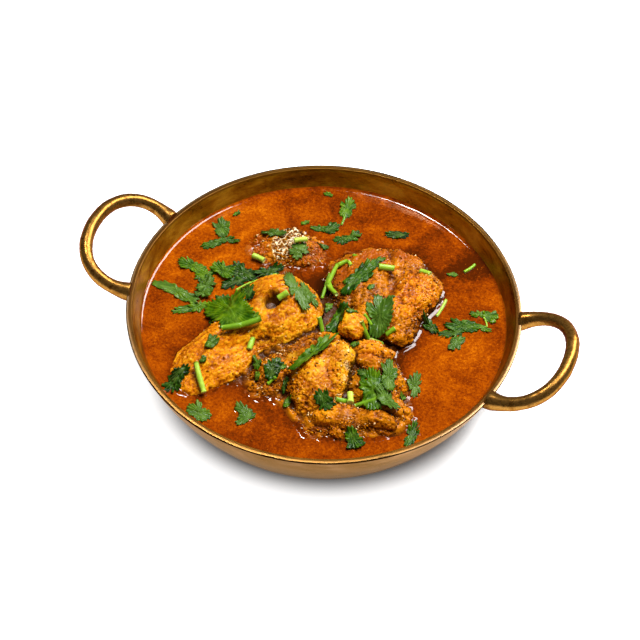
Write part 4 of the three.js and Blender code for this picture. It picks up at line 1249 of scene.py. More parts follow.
# A leaf is its tone, how greyish it is, and its leaflets: (shape, x, y, heading in degrees,
# length, width, leaves underneath, lift of the tip).
LEAVES = [
    (DEEP, GREYISH, (FAN, -72.4, 39.4, 126, 11.3, 8.5, 0, 0.5)),
    (DEEP, GREEN, (BLADE, -72.3, 26.6, -128, 11.5, 4.5, 0, 0), (FRILL, -66, 32.1, 22, 11, 4.5, 0, 0.5)),
    (DARK, GREYISH, (FRILL, -44.3, 43.9, -174, 10.9, 6, 0, 1)),
    (DARK, PALE, (BLADE, -26.4, 34.5, -116, 9.4, 7, 0, 0.5)),
    (DEEP, GREEN, (BLADE, -23.5, 57.9, -175, 8.5, 3, 0, 0), (FAN, -18, 60.5, 58, 7.4, 7.5, 0, 0)),
    (MIDDLE, GREEN, (FAN, -15.2, 77.2, 96, 13.2, 8, 0, 0.5)),
    (DEEP, GREEN, (FRILL, -9.9, 54.7, -142, 8.5, 5.5, 0, 0), (FRILL, -5.5, 58.8, 39, 8, 5.5, 0, 0.5)),
    (DARK, GREEN, (BLADE, 15.6, 68.4, -158, 10.6, 4.2, 0, 0)),
    (MIDDLE, GREEN, (FAN, -76.2, 8.1, 175, 14.1, 7.5, 0, 1), (FRILL, -67.3, 5.1, -126, 9.1, 5, 0, 0)),
    (DEEP, GREYISH, (FRILL, -63.7, -2.2, 65, 9, 7, 1, 0), (FRILL, -63, -7.9, 33, 7.5, 5.5, 1, 0.5)),
    (MIDDLE, GREEN, (FAN, -59.9, 10.2, 151, 10.8, 7.5, 1, 0.5)),
    (DARK, GREEN, (FAN, -49.4, 12.7, -173, 13.9, 9, 0, 0), (FRILL, -51.6, 5.7, -136, 11.1, 6, 0, 0)),
    (DARK, GREEN, (BLADE, -37.7, 19.1, -136, 12.9, 5, 0, 1)),
    (MIDDLE, GREYISH, (BLADE, -76.4, -11.2, -6, 22.3, 5.5, 0, 0.5)),
    (MIDDLE, GREEN, (BLADE, -69, -21.3, -145, 9.5, 4, 0, 0), (FRILL, -62.3, -16.2, -144, 8.5, 6.5, 0, 0.5)),
    (FRESH, GREEN, (BROAD, -43, -19.5, 129, 30, 21, 0, 0)),
    (DEEP, PALE, (FRILL, -15.2, -0.4, -48, 20.5, 7.5, 0, 0), (FRILL, -9.4, 2.1, -39, 13.5, 5, 0, 0)),
    (DEEP, GREEN, (BLADE, 10, 25.4, 69, 21.5, 7, 0, 0.5)),
    (DEEP, GREEN, (FAN, 8.4, -2.6, -87, 16.9, 8.5, 0, 0.5)),
    (DEEP, GREYISH, (FAN, 28.2, 4.6, 112, 21.3, 12, 0, 1)),
    (DARK, GREEN, (BLADE, 52.5, 14, 152, 10, 4.5, 0.4, 0.5)),
    (DEEP, GREEN, (FAN, 67.1, 20.6, -168, 15.9, 8, 0, 1), (BLADE, 63.4, 13.9, -146, 12.2, 3.5, 0, 0)),
    (DEEP, GREYISH, (FRILL, 67.9, 8.9, -116, 8.8, 6.5, 0, 0.5)),
    (MIDDLE, GREEN, (FRILL, 73.1, 31.4, -159, 8, 4, 0, 0.5), (FAN, 78.9, 32, 11, 7.2, 7.5, 0, 0)),
    (DARK, PALE, (FRILL, 57.2, -25.2, 106, 11.5, 5.5, 0, 1)),
    (MIDDLE, GREEN, (FAN, 40.4, -41.5, 116, 20, 11, 0, 0)),
    (MIDDLE, GREYISH, (FAN, 45.2, -31.7, 107, 16.4, 7, 1, 1)),
    (DEEP, PALE, (BLADE, 49.6, -45, -39, 13, 6.5, 1.6, 0)),
    (DEEP, GREEN, (FRILL, 65.6, -54.1, 91, 12.9, 4.5, 0, 1)),
    (DEEP, GREEN, (FAN, 40.4, -68.2, -48, 9, 8, 0.3, 0.5)),
    (DARK, GREEN, (BLADE, 20.9, -56.6, -33, 9.8, 6.5, 0, 0)),
    (MIDDLE, GREEN, (BLADE, 6.1, -32.6, 69, 26.9, 6.5, 0.5, 0)),
    (DARK, GREEN, (FAN, -10, -45.6, 95, 10.6, 8.5, 0, 0.5)),
    (DEEP, GREYISH, (FAN, -44.5, -41.4, 78, 7.8, 5, 0.3, 0)),
    (DARK, GREEN, (FRILL, -53.4, -62.4, -115, 9.3, 7.5, 0, 0), (FRILL, -54, -68.2, -103, 9, 7.5, 0, 0.5)),
    (MIDDLE, GREYISH, (FAN, -35.9, -79.3, 156, 12.1, 8.5, 0, 0.5)),
    (DEEP, GREYISH, (BLADE, -15.1, -70.2, 157, 9.7, 4.5, 0, 0.5),
     (BLADE, -13.4, -74.5, -123, 8.4, 4.5, 0, 0)),
]

# %% Leaf outline
HALF_WIDTH = 0.58                   # of the oval, in widths of the leaflet
CORNER_SHIFT = 0.6                  # most shift of a corner along the edge, in spacings
CORNER_LEAST, CORNER_MORE = 0.84, 0.3  # least reach of a torn corner, and what is drawn
NOTCH_SHIFT, NOTCH_WIDTH = 0.16, 0.17  # in radians
NOTCH_LEAST, NOTCH_MORE = 0.6, 0.6  # shares of its depth
TOOTH = 2.1                         # width of a tooth on the edge
FINE_TEETH = (0.03, 31)             # height and number of the finest teeth


def tooth_count(length, width):
    """Number of teeth round a leaflet: its way round, about pi * (length + width) / 2, over a tooth."""
    return round(math.pi * (length + width) / 2 / TOOTH)


def oval_turn(angle, length, width):
    """The angle before a circle is stretched to the oval: atan2(sin a / width, cos a / length)."""
    return np.arctan2(np.sin(angle) / width, np.cos(angle) / length)


def leaf_radius(shape, length, width, angle, seed):
    """Distance from a leaflet's middle to its edge, at an angle from its heading: a boxy oval,
    narrower towards the stalk, times straight lines between a few torn corners, less a narrow
    notch between every two lobes. Small teeth run all round."""
    forward = np.abs(np.cos(angle) / (length / 2)) ** shape["square"]
    across = np.abs(np.sin(angle) / (HALF_WIDTH * width)) ** shape["square"]
    oval = (forward + across) ** (-1 / shape["square"])
    stalkward = np.sin(angle) ** 2 * (1 - np.cos(angle)) / 2
    k = np.arange(shape["corners"])
    torn = int(100 * seed)
    corner_turn = (k + CORNER_SHIFT * random_corner(k, 1, 1, torn)) * 2 * math.pi / len(k)
    corner_out = CORNER_LEAST + CORNER_MORE * random_corner(k, 2, 2, torn)
    cut = np.interp(angle, corner_turn, corner_out, period=2 * math.pi)
    along = oval_turn(angle, length, width)
    for k, gap in enumerate(shape["gaps"]):
        for side in (-1, 1):
            middle = side * (gap + NOTCH_SHIFT * math.sin(3.1 * seed + 2 * k + side))
            turn = np.angle(np.exp(1j * (along - middle)))
            deep = shape["depth"] * (NOTCH_LEAST + NOTCH_MORE * math.sin(5.3 * seed + 1.7 * k + 2 * side))
            cut = cut - deep * np.exp(-np.abs(turn / NOTCH_WIDTH) ** 1.4)
    teeth = shape["teeth"] * (np.abs(np.sin(tooth_count(length, width) / 2 * along + seed)) - 0.4)
    teeth = teeth + FINE_TEETH[0] * np.cos(FINE_TEETH[1] * along + 2 * seed)
    return shape["grow"] * oval * (1 - shape["narrow"] * stalkward) * (cut + teeth)


# %% Leaf rest and veins
LEAF_FALL = 0.5                   # steepest fall from the middle of a leaf to its edge
VEIN_TURNS = (0.3, 0.95, 1.8)     # veins run straight on and at these turns to both sides
VEIN_ROOT, VEIN_TIP = -0.42, 0.9  # in lengths from the middle, and in shares of the reach
VEIN_WIDTH, VEIN_TAPER = 0.24, 0.1


def edge_height(middle, middle_height, edge, air):
    """Lowest height for the edge that keeps the straight line to it from the middle clear."""
    reach = np.hypot(edge[0] - middle[0], edge[1] - middle[1])
    height = middle_height - LEAF_FALL * reach
    for share in (0.2, 0.4, 0.6, 0.8, 1):
        x = middle[0] + share * (edge[0] - middle[0])
        y = middle[1] + share * (edge[1] - middle[1])
        height = np.maximum(height, middle_height + (support(x, y) + air - middle_height) / share)
    return height


def vein_pattern(x, y, length, radius_at):
    """1 on the veins and 0 between them: bells across the lines from the stalk to each lobe."""
    root = np.array([VEIN_ROOT * length, 0.0])
    pattern = np.zeros_like(x)
    for turn in [0.0] + [side * turn for turn in VEIN_TURNS for side in (-1, 1)]:
        tip = VEIN_TIP * radius_at(np.array(turn)) * np.array([math.cos(turn), math.sin(turn)])
        t, dx, dy = beside_line(x, y, root, tip - root)
        pattern = np.maximum(pattern, np.exp(-((np.hypot(dx, dy) / (VEIN_WIDTH - VEIN_TAPER * t)) ** 2)))
    return pattern


# %% Leaf meshes
LEAF_THICKNESS = 0.4
LEAF_GAP = 0.5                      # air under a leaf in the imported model
LEAF_STEP = 1.5                     # one more leaf underneath, there
LEAF_SETTLE = 0.35                  # how far a leaf sinks from there
LEAF_CLING, CLING_STEP = 0.12, 0.7  # least air under a settled leaf, and more for a leaf between
LEAF_RINGS, LEAF_SPOKES = 10, 180
SCRAP_SPOKES = 120                  # a scrap is smaller, so it needs fewer
WAVE, WAVES = 0.4, 5                # height and number of the waves round a leaflet
PLEAT = 0.25                        # depth of the folds that run out to the teeth
CRINKLE, CRINKLE_SIZE = 0.6, 3.0
VEIN_RISE = 0.1
# Painted light and shade by the height of the ruffle.
FOLD_LIGHT = 0.35                    # how much lighter a point is for each millimetre of ruffle
TOUCHING = 1.6                      # a leaf below this height above the gravy touches it
NEXT_SEED = 0.37                    # from one leaflet of a leaf to the next

COVER = HEIGHTS.copy()         # highest of each cell and its neighbours, for what lies on top
for axis in (0, 1):
    COVER = np.maximum(COVER, np.maximum(np.roll(COVER, 1, axis), np.roll(COVER, -1, axis)))
THIN = np.zeros_like(HEIGHTS)  # 1 where a leaf touches the gravy


def leaf_ruffle(points, share, angle, teeth, along, seed):
    """Height to add: waves round the leaflet that grow towards its edge, folds that run out to
    the teeth, and fine unevenness."""
    waves = WAVE * np.cos(WAVES * angle + seed) * share**2
    pleats = PLEAT * (np.cos(teeth * along + 2 * seed) * np.sqrt(share))
    crinkles = CRINKLE * layered_noise(points + (0, 0, 7 * seed), CRINKLE_SIZE, 3, 91)
    return waves.ravel() - pleats.ravel() + crinkles


def leaflet_mesh(leaflet, tone, grey, seed, spokes=LEAF_SPOKES):
    """A polar grid for the upper face and one for the lower, joined round the edge. Straight
    lines run from the middle to the edge, then the ruffle is added, and what would come too low
    is lifted onto the real surface."""
    shape, x, y, degrees, length, width, level, lift = leaflet
    heading = math.radians(degrees)
    angle = np.arange(spokes) / spokes * 2 * math.pi
    share = ((np.arange(LEAF_RINGS) + 0.35) / (LEAF_RINGS - 0.65))[:, None]
    radius = leaf_radius(shape, length, width, angle, seed)
    edge = (x + radius * np.cos(heading + angle), y + radius * np.sin(heading + angle))
    air = LEAF_GAP + level * LEAF_STEP
    middle_height = float(support(x, y)) + air
    rim = edge_height((x, y), middle_height, edge, air)
    rim = rim + lift * np.maximum(0, radius * np.cos(angle) / (length / 2))
    points = np.stack([x + share * (edge[0] - x), y + share * (edge[1] - y),
                       middle_height + share * (rim - middle_height)], -1).reshape(-1, 3)
    ruffle = leaf_ruffle(points, share, angle, tooth_count(length, width),
                         oval_turn(angle, length, width), seed)
    lying = sample(COVER, points[:, 0], points[:, 1]) + LEAF_CLING + level * CLING_STEP
    points[:, 2] = np.maximum(points[:, 2] - LEAF_SETTLE + ruffle, lying)
    u, v = share * radius * np.cos(angle), share * radius * np.sin(angle)
    vein = vein_pattern(u.ravel(), v.ravel(), length,
                        lambda turn: leaf_radius(shape, length, width, turn, seed))
    points[:, 2] += VEIN_RISE * vein
    lower = points.reshape(LEAF_RINGS, spokes, 3)[::-1].reshape(-1, 3)
    middle, lifted = points[:spokes].mean(0), (0, 0, LEAF_THICKNESS)
    points = np.concatenate([points + lifted, lower, [middle + lifted, middle]])
    faces = outward(points, tube_faces(2 * LEAF_RINGS, spokes))
    # Painted light on the upper face's raised folds and painted shade in its hollows.
    fold_light = np.concatenate([ruffle, 0 * ruffle, [0, 0]])
    layers = {"tone": tone + FOLD_LIGHT * fold_light, "grey": np.full(len(points), grey),
              "vein": np.concatenate([vein, 0 * vein, [1, 0]])}
    return points, faces, layers


def join(parts):
    """Several (points, faces, layers) put into one, with the faces renumbered."""
    points = np.concatenate([part[0] for part in parts])
    starts = np.cumsum([0] + [len(part[0]) for part in parts])
    faces = [face + start for part, start in zip(parts, starts) for face in part[1]]
    layers = {key: np.concatenate([part[2][key] for part in parts]) for key in parts[0][2]}
    return points, faces, layers


for number, (tone, grey, *leaflets) in enumerate(LEAVES, 1):
    points, faces, layers = join([leaflet_mesh(leaflet, tone, grey, number + NEXT_SEED * k)
                                  for k, leaflet in enumerate(leaflets)])
    THIN[cells_under(points[points[:, 2] < LEVEL + TOUCHING])] = 1
    node = f"leaf_{number:02d}"
    add_piece("coriander_" + node, points, faces, LEAF_GREEN, (node,), layers)

# %% [markdown]
# ## Chopped stalks
# Between the leaves lie short lengths of coriander stalk, cut straight across. A stalk is a tube
# with a faint bow and small ribs along it. Its cut ends are pale and a little hollow. The larger
# ones lie on top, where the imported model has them. Smaller bits are half sunk in the food.

# %% Stalk material
def stem_material():
    """Lime green along the stalk, nearly white on the cuts."""
    material, tree, shader = new_material("coriander_stalk", Coat_Weight=0.4, Coat_Roughness=0.12,
                                          Specular_IOR_Level=0.2)
    here = place_of(tree)
    cloud = noise_of(tree, here, 2.5, 3.0, 0.6)
    tone = vary(tree, layer_of(tree, "tone"), cloud, 0.5)
    colour = ramp_of(tree, tone, (0.0, (62, 108, 12)), (0.5, (132, 176, 32)), (1.0, (196, 220, 84)))
    feed(tree, shader, Base_Color=blend_of(tree, layer_of(tree, "cut"), colour, screen(200, 214, 120)),
         Roughness=level_of(tree, cloud, 0.3, 0.7, 0.3, 0.45),
         Normal=bump_of(tree, noise_of(tree, here, 0.6, 2.0), 0.06, 0.5))
    return material


STALK_GREEN = stem_material()

# %% Stalk meshes
STALK_SIDES = 20
STALK_STEPS = 14
STALK_UNEVEN = 0.06  # of its radius
RIB, RIBS = 0.03, 7  # height of the ribs in radii, and their number
CUT_RADII = np.array([0.97, 0.62, 0.4, 0.3])  # rings on a cut face, in radii of the stalk
CUT_SINK = np.array([0.0, 0.02, 0.04, 0.22])  # and how deep they lie


def stalk_mesh(start, end, radius, tone, seed, bow=0.25):
    """A tube between two points, bowed sideways by a half wave. Each end closes over a rounded
    lip, a cut face and a shallow pit."""
    share = np.linspace(0, 1, STALK_STEPS)
    way = end - start
    sideways = np.array([-way[1], way[0], 0]) / np.linalg.norm(way)
    aside = bow * np.sin(share * math.pi) * math.sin(seed)
    path = start + share[:, None] * way + aside[:, None] * sideways
    thick = radius * (1 + STALK_UNEVEN * np.sin(5 * share + seed))
    sink = CUT_SINK * radius
    unit = way / np.linalg.norm(way)
    path = np.concatenate([start + sink[::-1, None] * unit, path, end - sink[:, None] * unit])
    thick = np.concatenate([radius * CUT_RADII[::-1], thick, radius * CUT_RADII])
    straight = np.linspace(start, end, len(path))
    _, ring = tube(straight, thick, np.array([0, 0, 1.0]), STALK_SIDES)
    ribs = 1 + RIB * np.cos(RIBS * np.arange(STALK_SIDES) / STALK_SIDES * 2 * math.pi)
    rings = path[:, None] + (thick[:, None] * ribs)[..., None] * ring
    points = np.concatenate([rings.reshape(-1, 3), [path[0], path[-1]]])
    faces = outward(points, tube_faces(len(path), STALK_SIDES))
    cut = np.zeros(len(path))
    cut[:len(sink)] = cut[-len(sink):] = 1
    cut = np.append(np.repeat(cut, STALK_SIDES), [0.6, 0.6])
    return points, faces, {"tone": np.full(len(points), tone), "cut": cut}


# %% Stalks on top
# Runs of points with a diameter, the leaves underneath and a tone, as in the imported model.
STEMS = [
    (((-48.9, 25.4), (-42.1, 23.9)), 3, 0, 0.8),
    (((-30.5, 37.2), (-24.7, 41)), 2.6, 1, 0.9),
    (((-20.8, -11.2), (-16.9, -7.5)), 3.2, 0, 0.6),
    (((-41.7, -34.4), (-33.2, -30.4), (-24.7, -24.4)), 3, 1.4, 0.3),
    (((-46.4, -57), (-37.2, -69)), 2.8, 0, 0.7),
    (((17.3, 33.2), (24.8, 36.5)), 3.2, 0, 0.6),
    (((12.8, 2.6), (20.3, 0.8)), 3, 0, 0.5),
    (((29.9, -13.8), (33.4, -7.2)), 3, 0, 0.7),
    (((30.3, -45.4), (32.7, -51.5)), 3.2, 0, 0.9),
    (((0.2, 34.9), (-3.9, 31), (-4.8, 18.6), (2.4, 12.2)), 2.2, 0, 0.5),
]


def axis_height(x, y, along, radius):
    """Lowest height for the axis of a round stalk over a point: the highest of five lines
    across it, each raised by the stalk's circle."""
    heights = []
    for side in (-1, -0.5, 0, 0.5, 1):
        under = support(x - side * radius * along[1], y + side * radius * along[0])
        heights.append(under + radius * math.sqrt(1 - side * side))
    return np.max(heights, axis=0)


def resting_run(start, end, radius, air):
    """Both ends of a straight stalk that rests clear on what lies under it."""
    start, end = np.array(start, float), np.array(end, float)
    along = (end - start) / np.linalg.norm(end - start)
    share = np.array([0, 0.15, 0.3, 0.5, 0.7, 0.85, 1])
    x, y = (start + share[:, None] * (end - start)).T
    under = axis_height(x, y, along, radius)
    line = under[0] + share * (under[-1] - under[0])
    heights = under[[0, -1]] + np.max(under - line) + air
    return np.array([*start, heights[0]]), np.array([*end, heights[1]])


for number, (route, diameter, level, tone) in enumerate(STEMS, 1):
    parts = []
    for k, (start, end) in enumerate(zip(route, route[1:])):
        ends = resting_run(start, end, diameter / 2, LEAF_GAP + level * LEAF_STEP)
        parts.append(stalk_mesh(*ends, diameter / 2, tone, number + k))
    points, faces, layers = join(parts)
    node = f"stem_{number:02d}"
    add_piece("stalk_" + node, points, faces, STALK_GREEN, (node,), layers)

# %% Stuck stalks
# Bits that are half sunk in the chicken or the gravy: x, y, x, y, diameter, tone.
STUCK_BITS = [
    (-25.7, -38.3, -26.2, -31.6, 2.8, 0.6), (-9.8, -53.6, -7, -49.3, 1.8, 0.4),
    (37.8, 41.1, 43.6, 39.3, 2.8, 0.7), (34.7, -4.5, 38.2, -0.7, 2.6, 0.4),
    (53.3, 22.1, 54.4, 34.6, 1.6, 0.7), (57.2, 56.6, 61, 63.8, 1.6, 0.5),
    (0.8, 41.5, 6.6, 40.8, 1.8, 0.3), (-14.6, 72, -14, 64.6, 1.4, 0.2),
    (-0.5, -6.5, 3, -10.5, 2.4, 0.4), (20.5, 2.2, 25.6, -0.1, 1.8, 0.4),
    (22, -6.4, 26.8, -8, 2.4, 0.5), (25, -52.2, 29.7, -49.7, 2.8, 0.3),
    (34.9, -51, 44.3, -45.3, 2.0, 0.3), (-60.3, -15, -54, -11.4, 1.2, 0.6),
    (76.1, 30.4, 79.5, 24.6, 1.0, 0.6), (-48.7, 1.2, -43.5, 9.2, 1.1, 0.6),
    (-43.5, 9.2, -32.8, 20.1, 1.1, 0.6), (2.8, 32.1, 0.2, 34.9, 2.0, 0.6),
    (-5, 20.7, 0, 14.6, 2.2, 0.5), (-6.5, 26.4, -5.1, 10.6, 1.8, 0.3),
]
STUCK_RISE = 0.15  # of its axis over the surface, in diameters
STUCK_BOW = 0.4


def make_stuck_bits():
    """One joined piece. Each bit's axis lies near the height of the surface under its ends."""
    parts = []
    for number, (x0, y0, x1, y1, diameter, tone) in enumerate(STUCK_BITS):
        heights = sample(HEIGHTS, np.array([x0, x1]), np.array([y0, y1])) + STUCK_RISE * diameter
        parts.append(stalk_mesh(np.array([x0, y0, heights[0]]), np.array([x1, y1, heights[1]]),
                                diameter / 2, tone, number, STUCK_BOW))
    points, faces, layers = join(parts)
    add_piece("stuck_stalks", points, faces, STALK_GREEN, (), layers)


make_stuck_bits()

# %% [markdown]
# ## Leaf scraps
# A knife leaves small pieces of leaf as well. They use the same shapes, smaller, and are joined
# into one piece, because nobody picks them out one by one.

# %% Leaf scraps
# Shape, x, y, heading, length, width, leaves underneath and lift, as for a leaflet.
SCRAPS = [
    (FRILL, -38.5, -7.5, 122, 11.7, 5, 0, 0), (FRILL, 15.7, 38, 66, 9, 3, 0, 0.5),
    (FRILL, 77.6, 23.2, -7, 8.4, 3, 0, 0), (BLADE, 32.7, -34.1, 144, 6, 4, 0, 0.3),
    (BLADE, -19.2, -43.9, 118, 8.4, 3.2, 0, 0.3), (BLADE, -32.5, 59.2, 40, 4, 2.2, 0, 0),
    (BLADE, -16.8, 45.9, 10, 4.5, 2.6, 0, 0), (BLADE, -28.3, 83.4, 0, 5, 2.2, 0, 0),
    (BLADE, 52, 52.5, 20, 5, 2, 0, 0), (BLADE, 18.1, 20, 80, 4, 2.5, 0, 0),
    (BLADE, 23.7, -19.9, 30, 4, 2.5, 0, 0), (BLADE, -16.3, -51.2, 120, 4, 2, 0, 0),
    (BLADE, -44.3, -53, 60, 3.5, 2.5, 0, 0), (BLADE, -51.1, -23.9, 140, 4, 3, 0, 0),
    (BLADE, 54.5, -35.4, 60, 3, 2, 0, 0), (BLADE, -1.5, -51.1, 100, 6, 2, 0, 0),
    (FRILL, -68.7, 52.1, 60, 4, 2.4, 0, 0), (BLADE, 2.6, -59.2, 90, 4, 2.6, 0, 0),
    (FRILL, -65.7, 3.3, 70, 8, 5, 0, 0.5), (FRILL, -59.6, 12.2, 20, 9, 5, 0, 0.5),
    (FRILL, -64.2, -4.8, 130, 7, 4.5, 0, 0.5), (FRILL, -51.9, 15.3, 150, 9, 6, 0, 0.5),
    (FRILL, -50.9, -23.1, -30, 6, 3.5, 0, 0), (FAN, -29.2, -22.7, 60, 5.5, 3.5, 0, 0.3),
    (FRILL, -53, -6.5, 20, 6, 4, 0, 0.3), (FRILL, 15.7, -1.9, 40, 5, 3, 0, 0.3),
    (FRILL, 0.4, 5.8, 80, 5, 3, 0, 0.3), (FRILL, 30.3, 17.7, 10, 2.6, 1.6, 0, 0.2),
    (FRILL, -5.5, -43.5, 60, 3, 2, 0, 0.2), (FRILL, 6.6, -21, 20, 3.4, 2.2, 0, 0.2),
]
SCRAP_SEED = 50.0  # past those of the leaves


def make_scraps():
    """One joined piece of small leaflets, in three tones by turns."""
    parts = []
    for number, scrap in enumerate(SCRAPS):
        tone = 0.2 + 0.18 * (number % 3)
        parts.append(leaflet_mesh(scrap, tone, GREEN, SCRAP_SEED + number, SCRAP_SPOKES))
    points, faces, layers = join(parts)
    add_piece("leaf_scraps", points, faces, LEAF_GREEN, (), layers)


make_scraps()

# %% [markdown]
# ## Gravy
# The gravy is an onion and tomato sauce under a film of red oil. Its surface is level but not
# flat: it climbs the bronze and every piece that stands in it, and those small curves draw the
# bright lines that make it look wet. The sheet is a disc grid with its rings crowded at the
# wall, and it goes down inside the wall and closes under itself.

# %% Gravy material
def gravy_material():
    """Orange sauce with clouds of red oil, light flecks of onion and dark ones of spice, painted
    shade close to the chicken, and nearly black painted shade where it is deepest, in the gaps.
    """
    material, tree, shader = new_material("orange_gravy", Coat_Weight=1.0, Coat_Roughness=0.04,
                                          Coat_IOR=1.6, Specular_IOR_Level=0.0)
    here = place_of(tree)
    cloud = noise_of(tree, here, 16.0, 5.0, 0.62, 0.7)
    mottle = noise_of(tree, here, 1.5, 5.0, 0.8)
    tone = vary(tree, vary(tree, layer_of(tree, "warm"), cloud, 1.35), mottle, 1.7)
    # The deep layer darkens the tone: painted shade close to the chicken and in the gaps, and the dark
    # streaks.
    tone = sum_of(tree, tone, layer_of(tree, "deep"), -0.8)
    colour = ramp_of(tree, tone, (0.0, (74, 26, 0)), (0.35, (126, 48, 0)),
                     (0.65, (162, 73, 0)), (1.0, (204, 110, 6)))
    dark = level_of(tree, cells_of(tree, here, 1.7), 0.17, 0.1)
    light = level_of(tree, cells_of(tree, place_of(tree, (1, 1, 2)), 2.3), 0.13, 0.06, 0.0, 0.6)
    colour = blend_of(tree, dark, colour, screen(84, 26, 0))
    colour = blend_of(tree, light, colour, screen(214, 118, 18))
    # Nearly black painted shade where the deep layer is highest, in the narrow gaps.
    gap_shade = level_of(tree, layer_of(tree, "deep"), 1.0, 1.7, 0.0, 0.92)
    height = sum_of(tree, mottle, noise_of(tree, here, 0.7, 2.0), 0.4)
    feed(tree, shader, Base_Color=blend_of(tree, gap_shade, colour, screen(22, 8, 0)),
         Roughness=level_of(tree, mottle, 0.3, 0.7, 0.3, 0.5),
         Normal=bump_of(tree, height, 0.1, 0.5), Coat_Normal=bump_of(tree, height, 0.04, 0.5))
    return material


GRAVY = gravy_material()

# %% Gravy surface
GRAVY_GRID = 296
CLIMB, CLIMB_WIDTH = 1.5, 1.0  # how far the gravy climbs the wall, and over what width
PIECE_CLIMB, LEAF_CLIMB = 1.2, 0.14  # and how far it climbs chicken and leaves
SWIRL, SWIRL_SIZE = 0.1, 14.0  # slow unevenness of its surface
CROWDING, CROWD = 0.08, 8.6    # how much, and with what power, the rings crowd at the wall
INTO_WALL = 0.1                # its edge lies this far inside the wall
SIDE_HEIGHTS = (37.0, 28.0, 15.0, 5.0)  # of the rings below its edge
GRAVY_BOTTOM = FLOOR + 0.4


def gravy_rise(x, y, from_wall):
    """Height over the level: climb * exp(-distance to the wall / width), then blurred maps of
    what stands in the gravy, stronger in some places than in others, and slow swirls."""
    standing = spread((HEIGHTS > LEVEL + 0.5).astype(float), 0.8)
    thin = spread(THIN, 0.5)
    flat = np.stack([x, y, 0 * x], 1)
    rise = CLIMB * np.exp(-from_wall / CLIMB_WIDTH)
    wetting = np.clip(0.22 + 1.4 * layered_noise(flat, 7.0, 3, 103), 0.04, 0.8)
    for place in CLEAR_PLACES[:2]:
        wetting = np.maximum(wetting, bell(x, y, *place))
    rise = rise + wetting * PIECE_CLIMB * np.clip(2 * sample(standing, x, y), 0, 1) ** 1.4
    rise = rise + LEAF_CLIMB * wetting * np.clip(2 * sample(thin, x, y), 0, 1) ** 1.3
    return rise + SWIRL * layered_noise(flat, SWIRL_SIZE, 3, 101)


def gravy_points():
    """Radius R ((1 + c) s - c s^8.6) for share s of the disc grid, then rings that follow the
    wall down, and the middle of the bottom."""
    share, angle = disc_grid(GRAVY_GRID)
    reach = float(wall_radius(LEVEL + CLIMB, WALL)) + INTO_WALL
    radius = reach * ((1 + CROWDING) * share - CROWDING * share**CROWD).ravel()
    angle = angle.ravel()
    x, y = radius * np.cos(angle), radius * np.sin(angle)
    top = np.stack([x, y, LEVEL + gravy_rise(x, y, reach - radius)], 1)
    around = angle[rim_of_grid(GRAVY_GRID)]
    height = np.array(SIDE_HEIGHTS)[:, None]
    radius = wall_radius(height, WALL) + INTO_WALL
    side = np.stack([radius * np.cos(around), radius * np.sin(around), height + 0 * around], -1)
    return np.concatenate([top, side.reshape(-1, 3), [[0, 0, GRAVY_BOTTOM]]])


# %% Gravy colours and mesh
# x, y, radius and strength of places with a lighter or a darker tone.
WARM_PLACES = [(-75, 30, 26, 0.1), (-8, 84, 40, -0.17), (-78, -25, 18, -0.1), (5, -68, 26, -0.1),
               (-35, 20, 14, -0.2), (66, 62, 18, -0.2), (80, -10, 22, 0.05), (40, 65, 24, -0.1)]
STREAKS = (58.0, 64.0, 24.0)        # x, y and radius of the dark streaks
# Painted shade of the gravy close to the chicken:
DEEP_REACH, DEEP_HEIGHT = 4.0, 4.5  # dark where the mean of the surface rises by this height


def dark_streaks(points):
    """Dark red streaks at the back right: noise drawn out along the radius."""
    radius, turn = np.hypot(points[:, 0], points[:, 1]), np.arctan2(points[:, 1], points[:, 0])
    drawn = np.stack([turn * RIM_RADIUS / 9, radius / 22, 0 * turn], 1)
    return (0.2 + 0.4 * layered_noise(drawn, 1.0, 2, 121)) * bell(points[:, 0], points[:, 1], *STREAKS)


def make_gravy():
    """The sheet, with a warm tone in some places and a deep one close to the chicken: painted
    shade there and in the narrow gaps, and the dark streaks at the back right.
    """
    points = gravy_points()
    x, y, _ = points.T
    warm = np.full(len(points), 0.5)
    for *place, more in WARM_PLACES:
        warm += more * bell(x, y, *place)
    deep = np.clip((sample(spread(HEIGHTS, DEEP_REACH), x, y) - LEVEL) / DEEP_HEIGHT, 0, 1)
    deep = deep + 1.2 * shut_in(points) + np.clip(dark_streaks(points), 0, 1)
    layers = {"warm": warm, "deep": deep}
    faces = disc_faces(GRAVY_GRID, len(SIDE_HEIGHTS))
    add_piece("curry_gravy", points, faces, GRAVY, ("gravy",), layers)


make_gravy()

# %% [markdown]
# ## Masala crumbs
# Ground onion, spice and shreds of meat stick to the chicken. They are small uneven balls of
# twenty faces each, joined into one mesh, because a shape that is repeated this often has to be
# simple. Their places are drawn from the upper points of the pieces, more on a thicker coat.

# %% Crumb mesh
CRUMB_SEED = 5
CRUMBS_PER_COAT = 900  # on a piece whose coat is full
CRUMB_SIZES = (0.3, 0.75)
CRUMB_STRETCH, CRUMB_HEIGHT = 0.7, 0.8  # most extra length, and height, in radii
CRUMB_DENTS = (0.75, 1.15)
HIDDEN = 0.8           # a point this far below the surface is under another piece


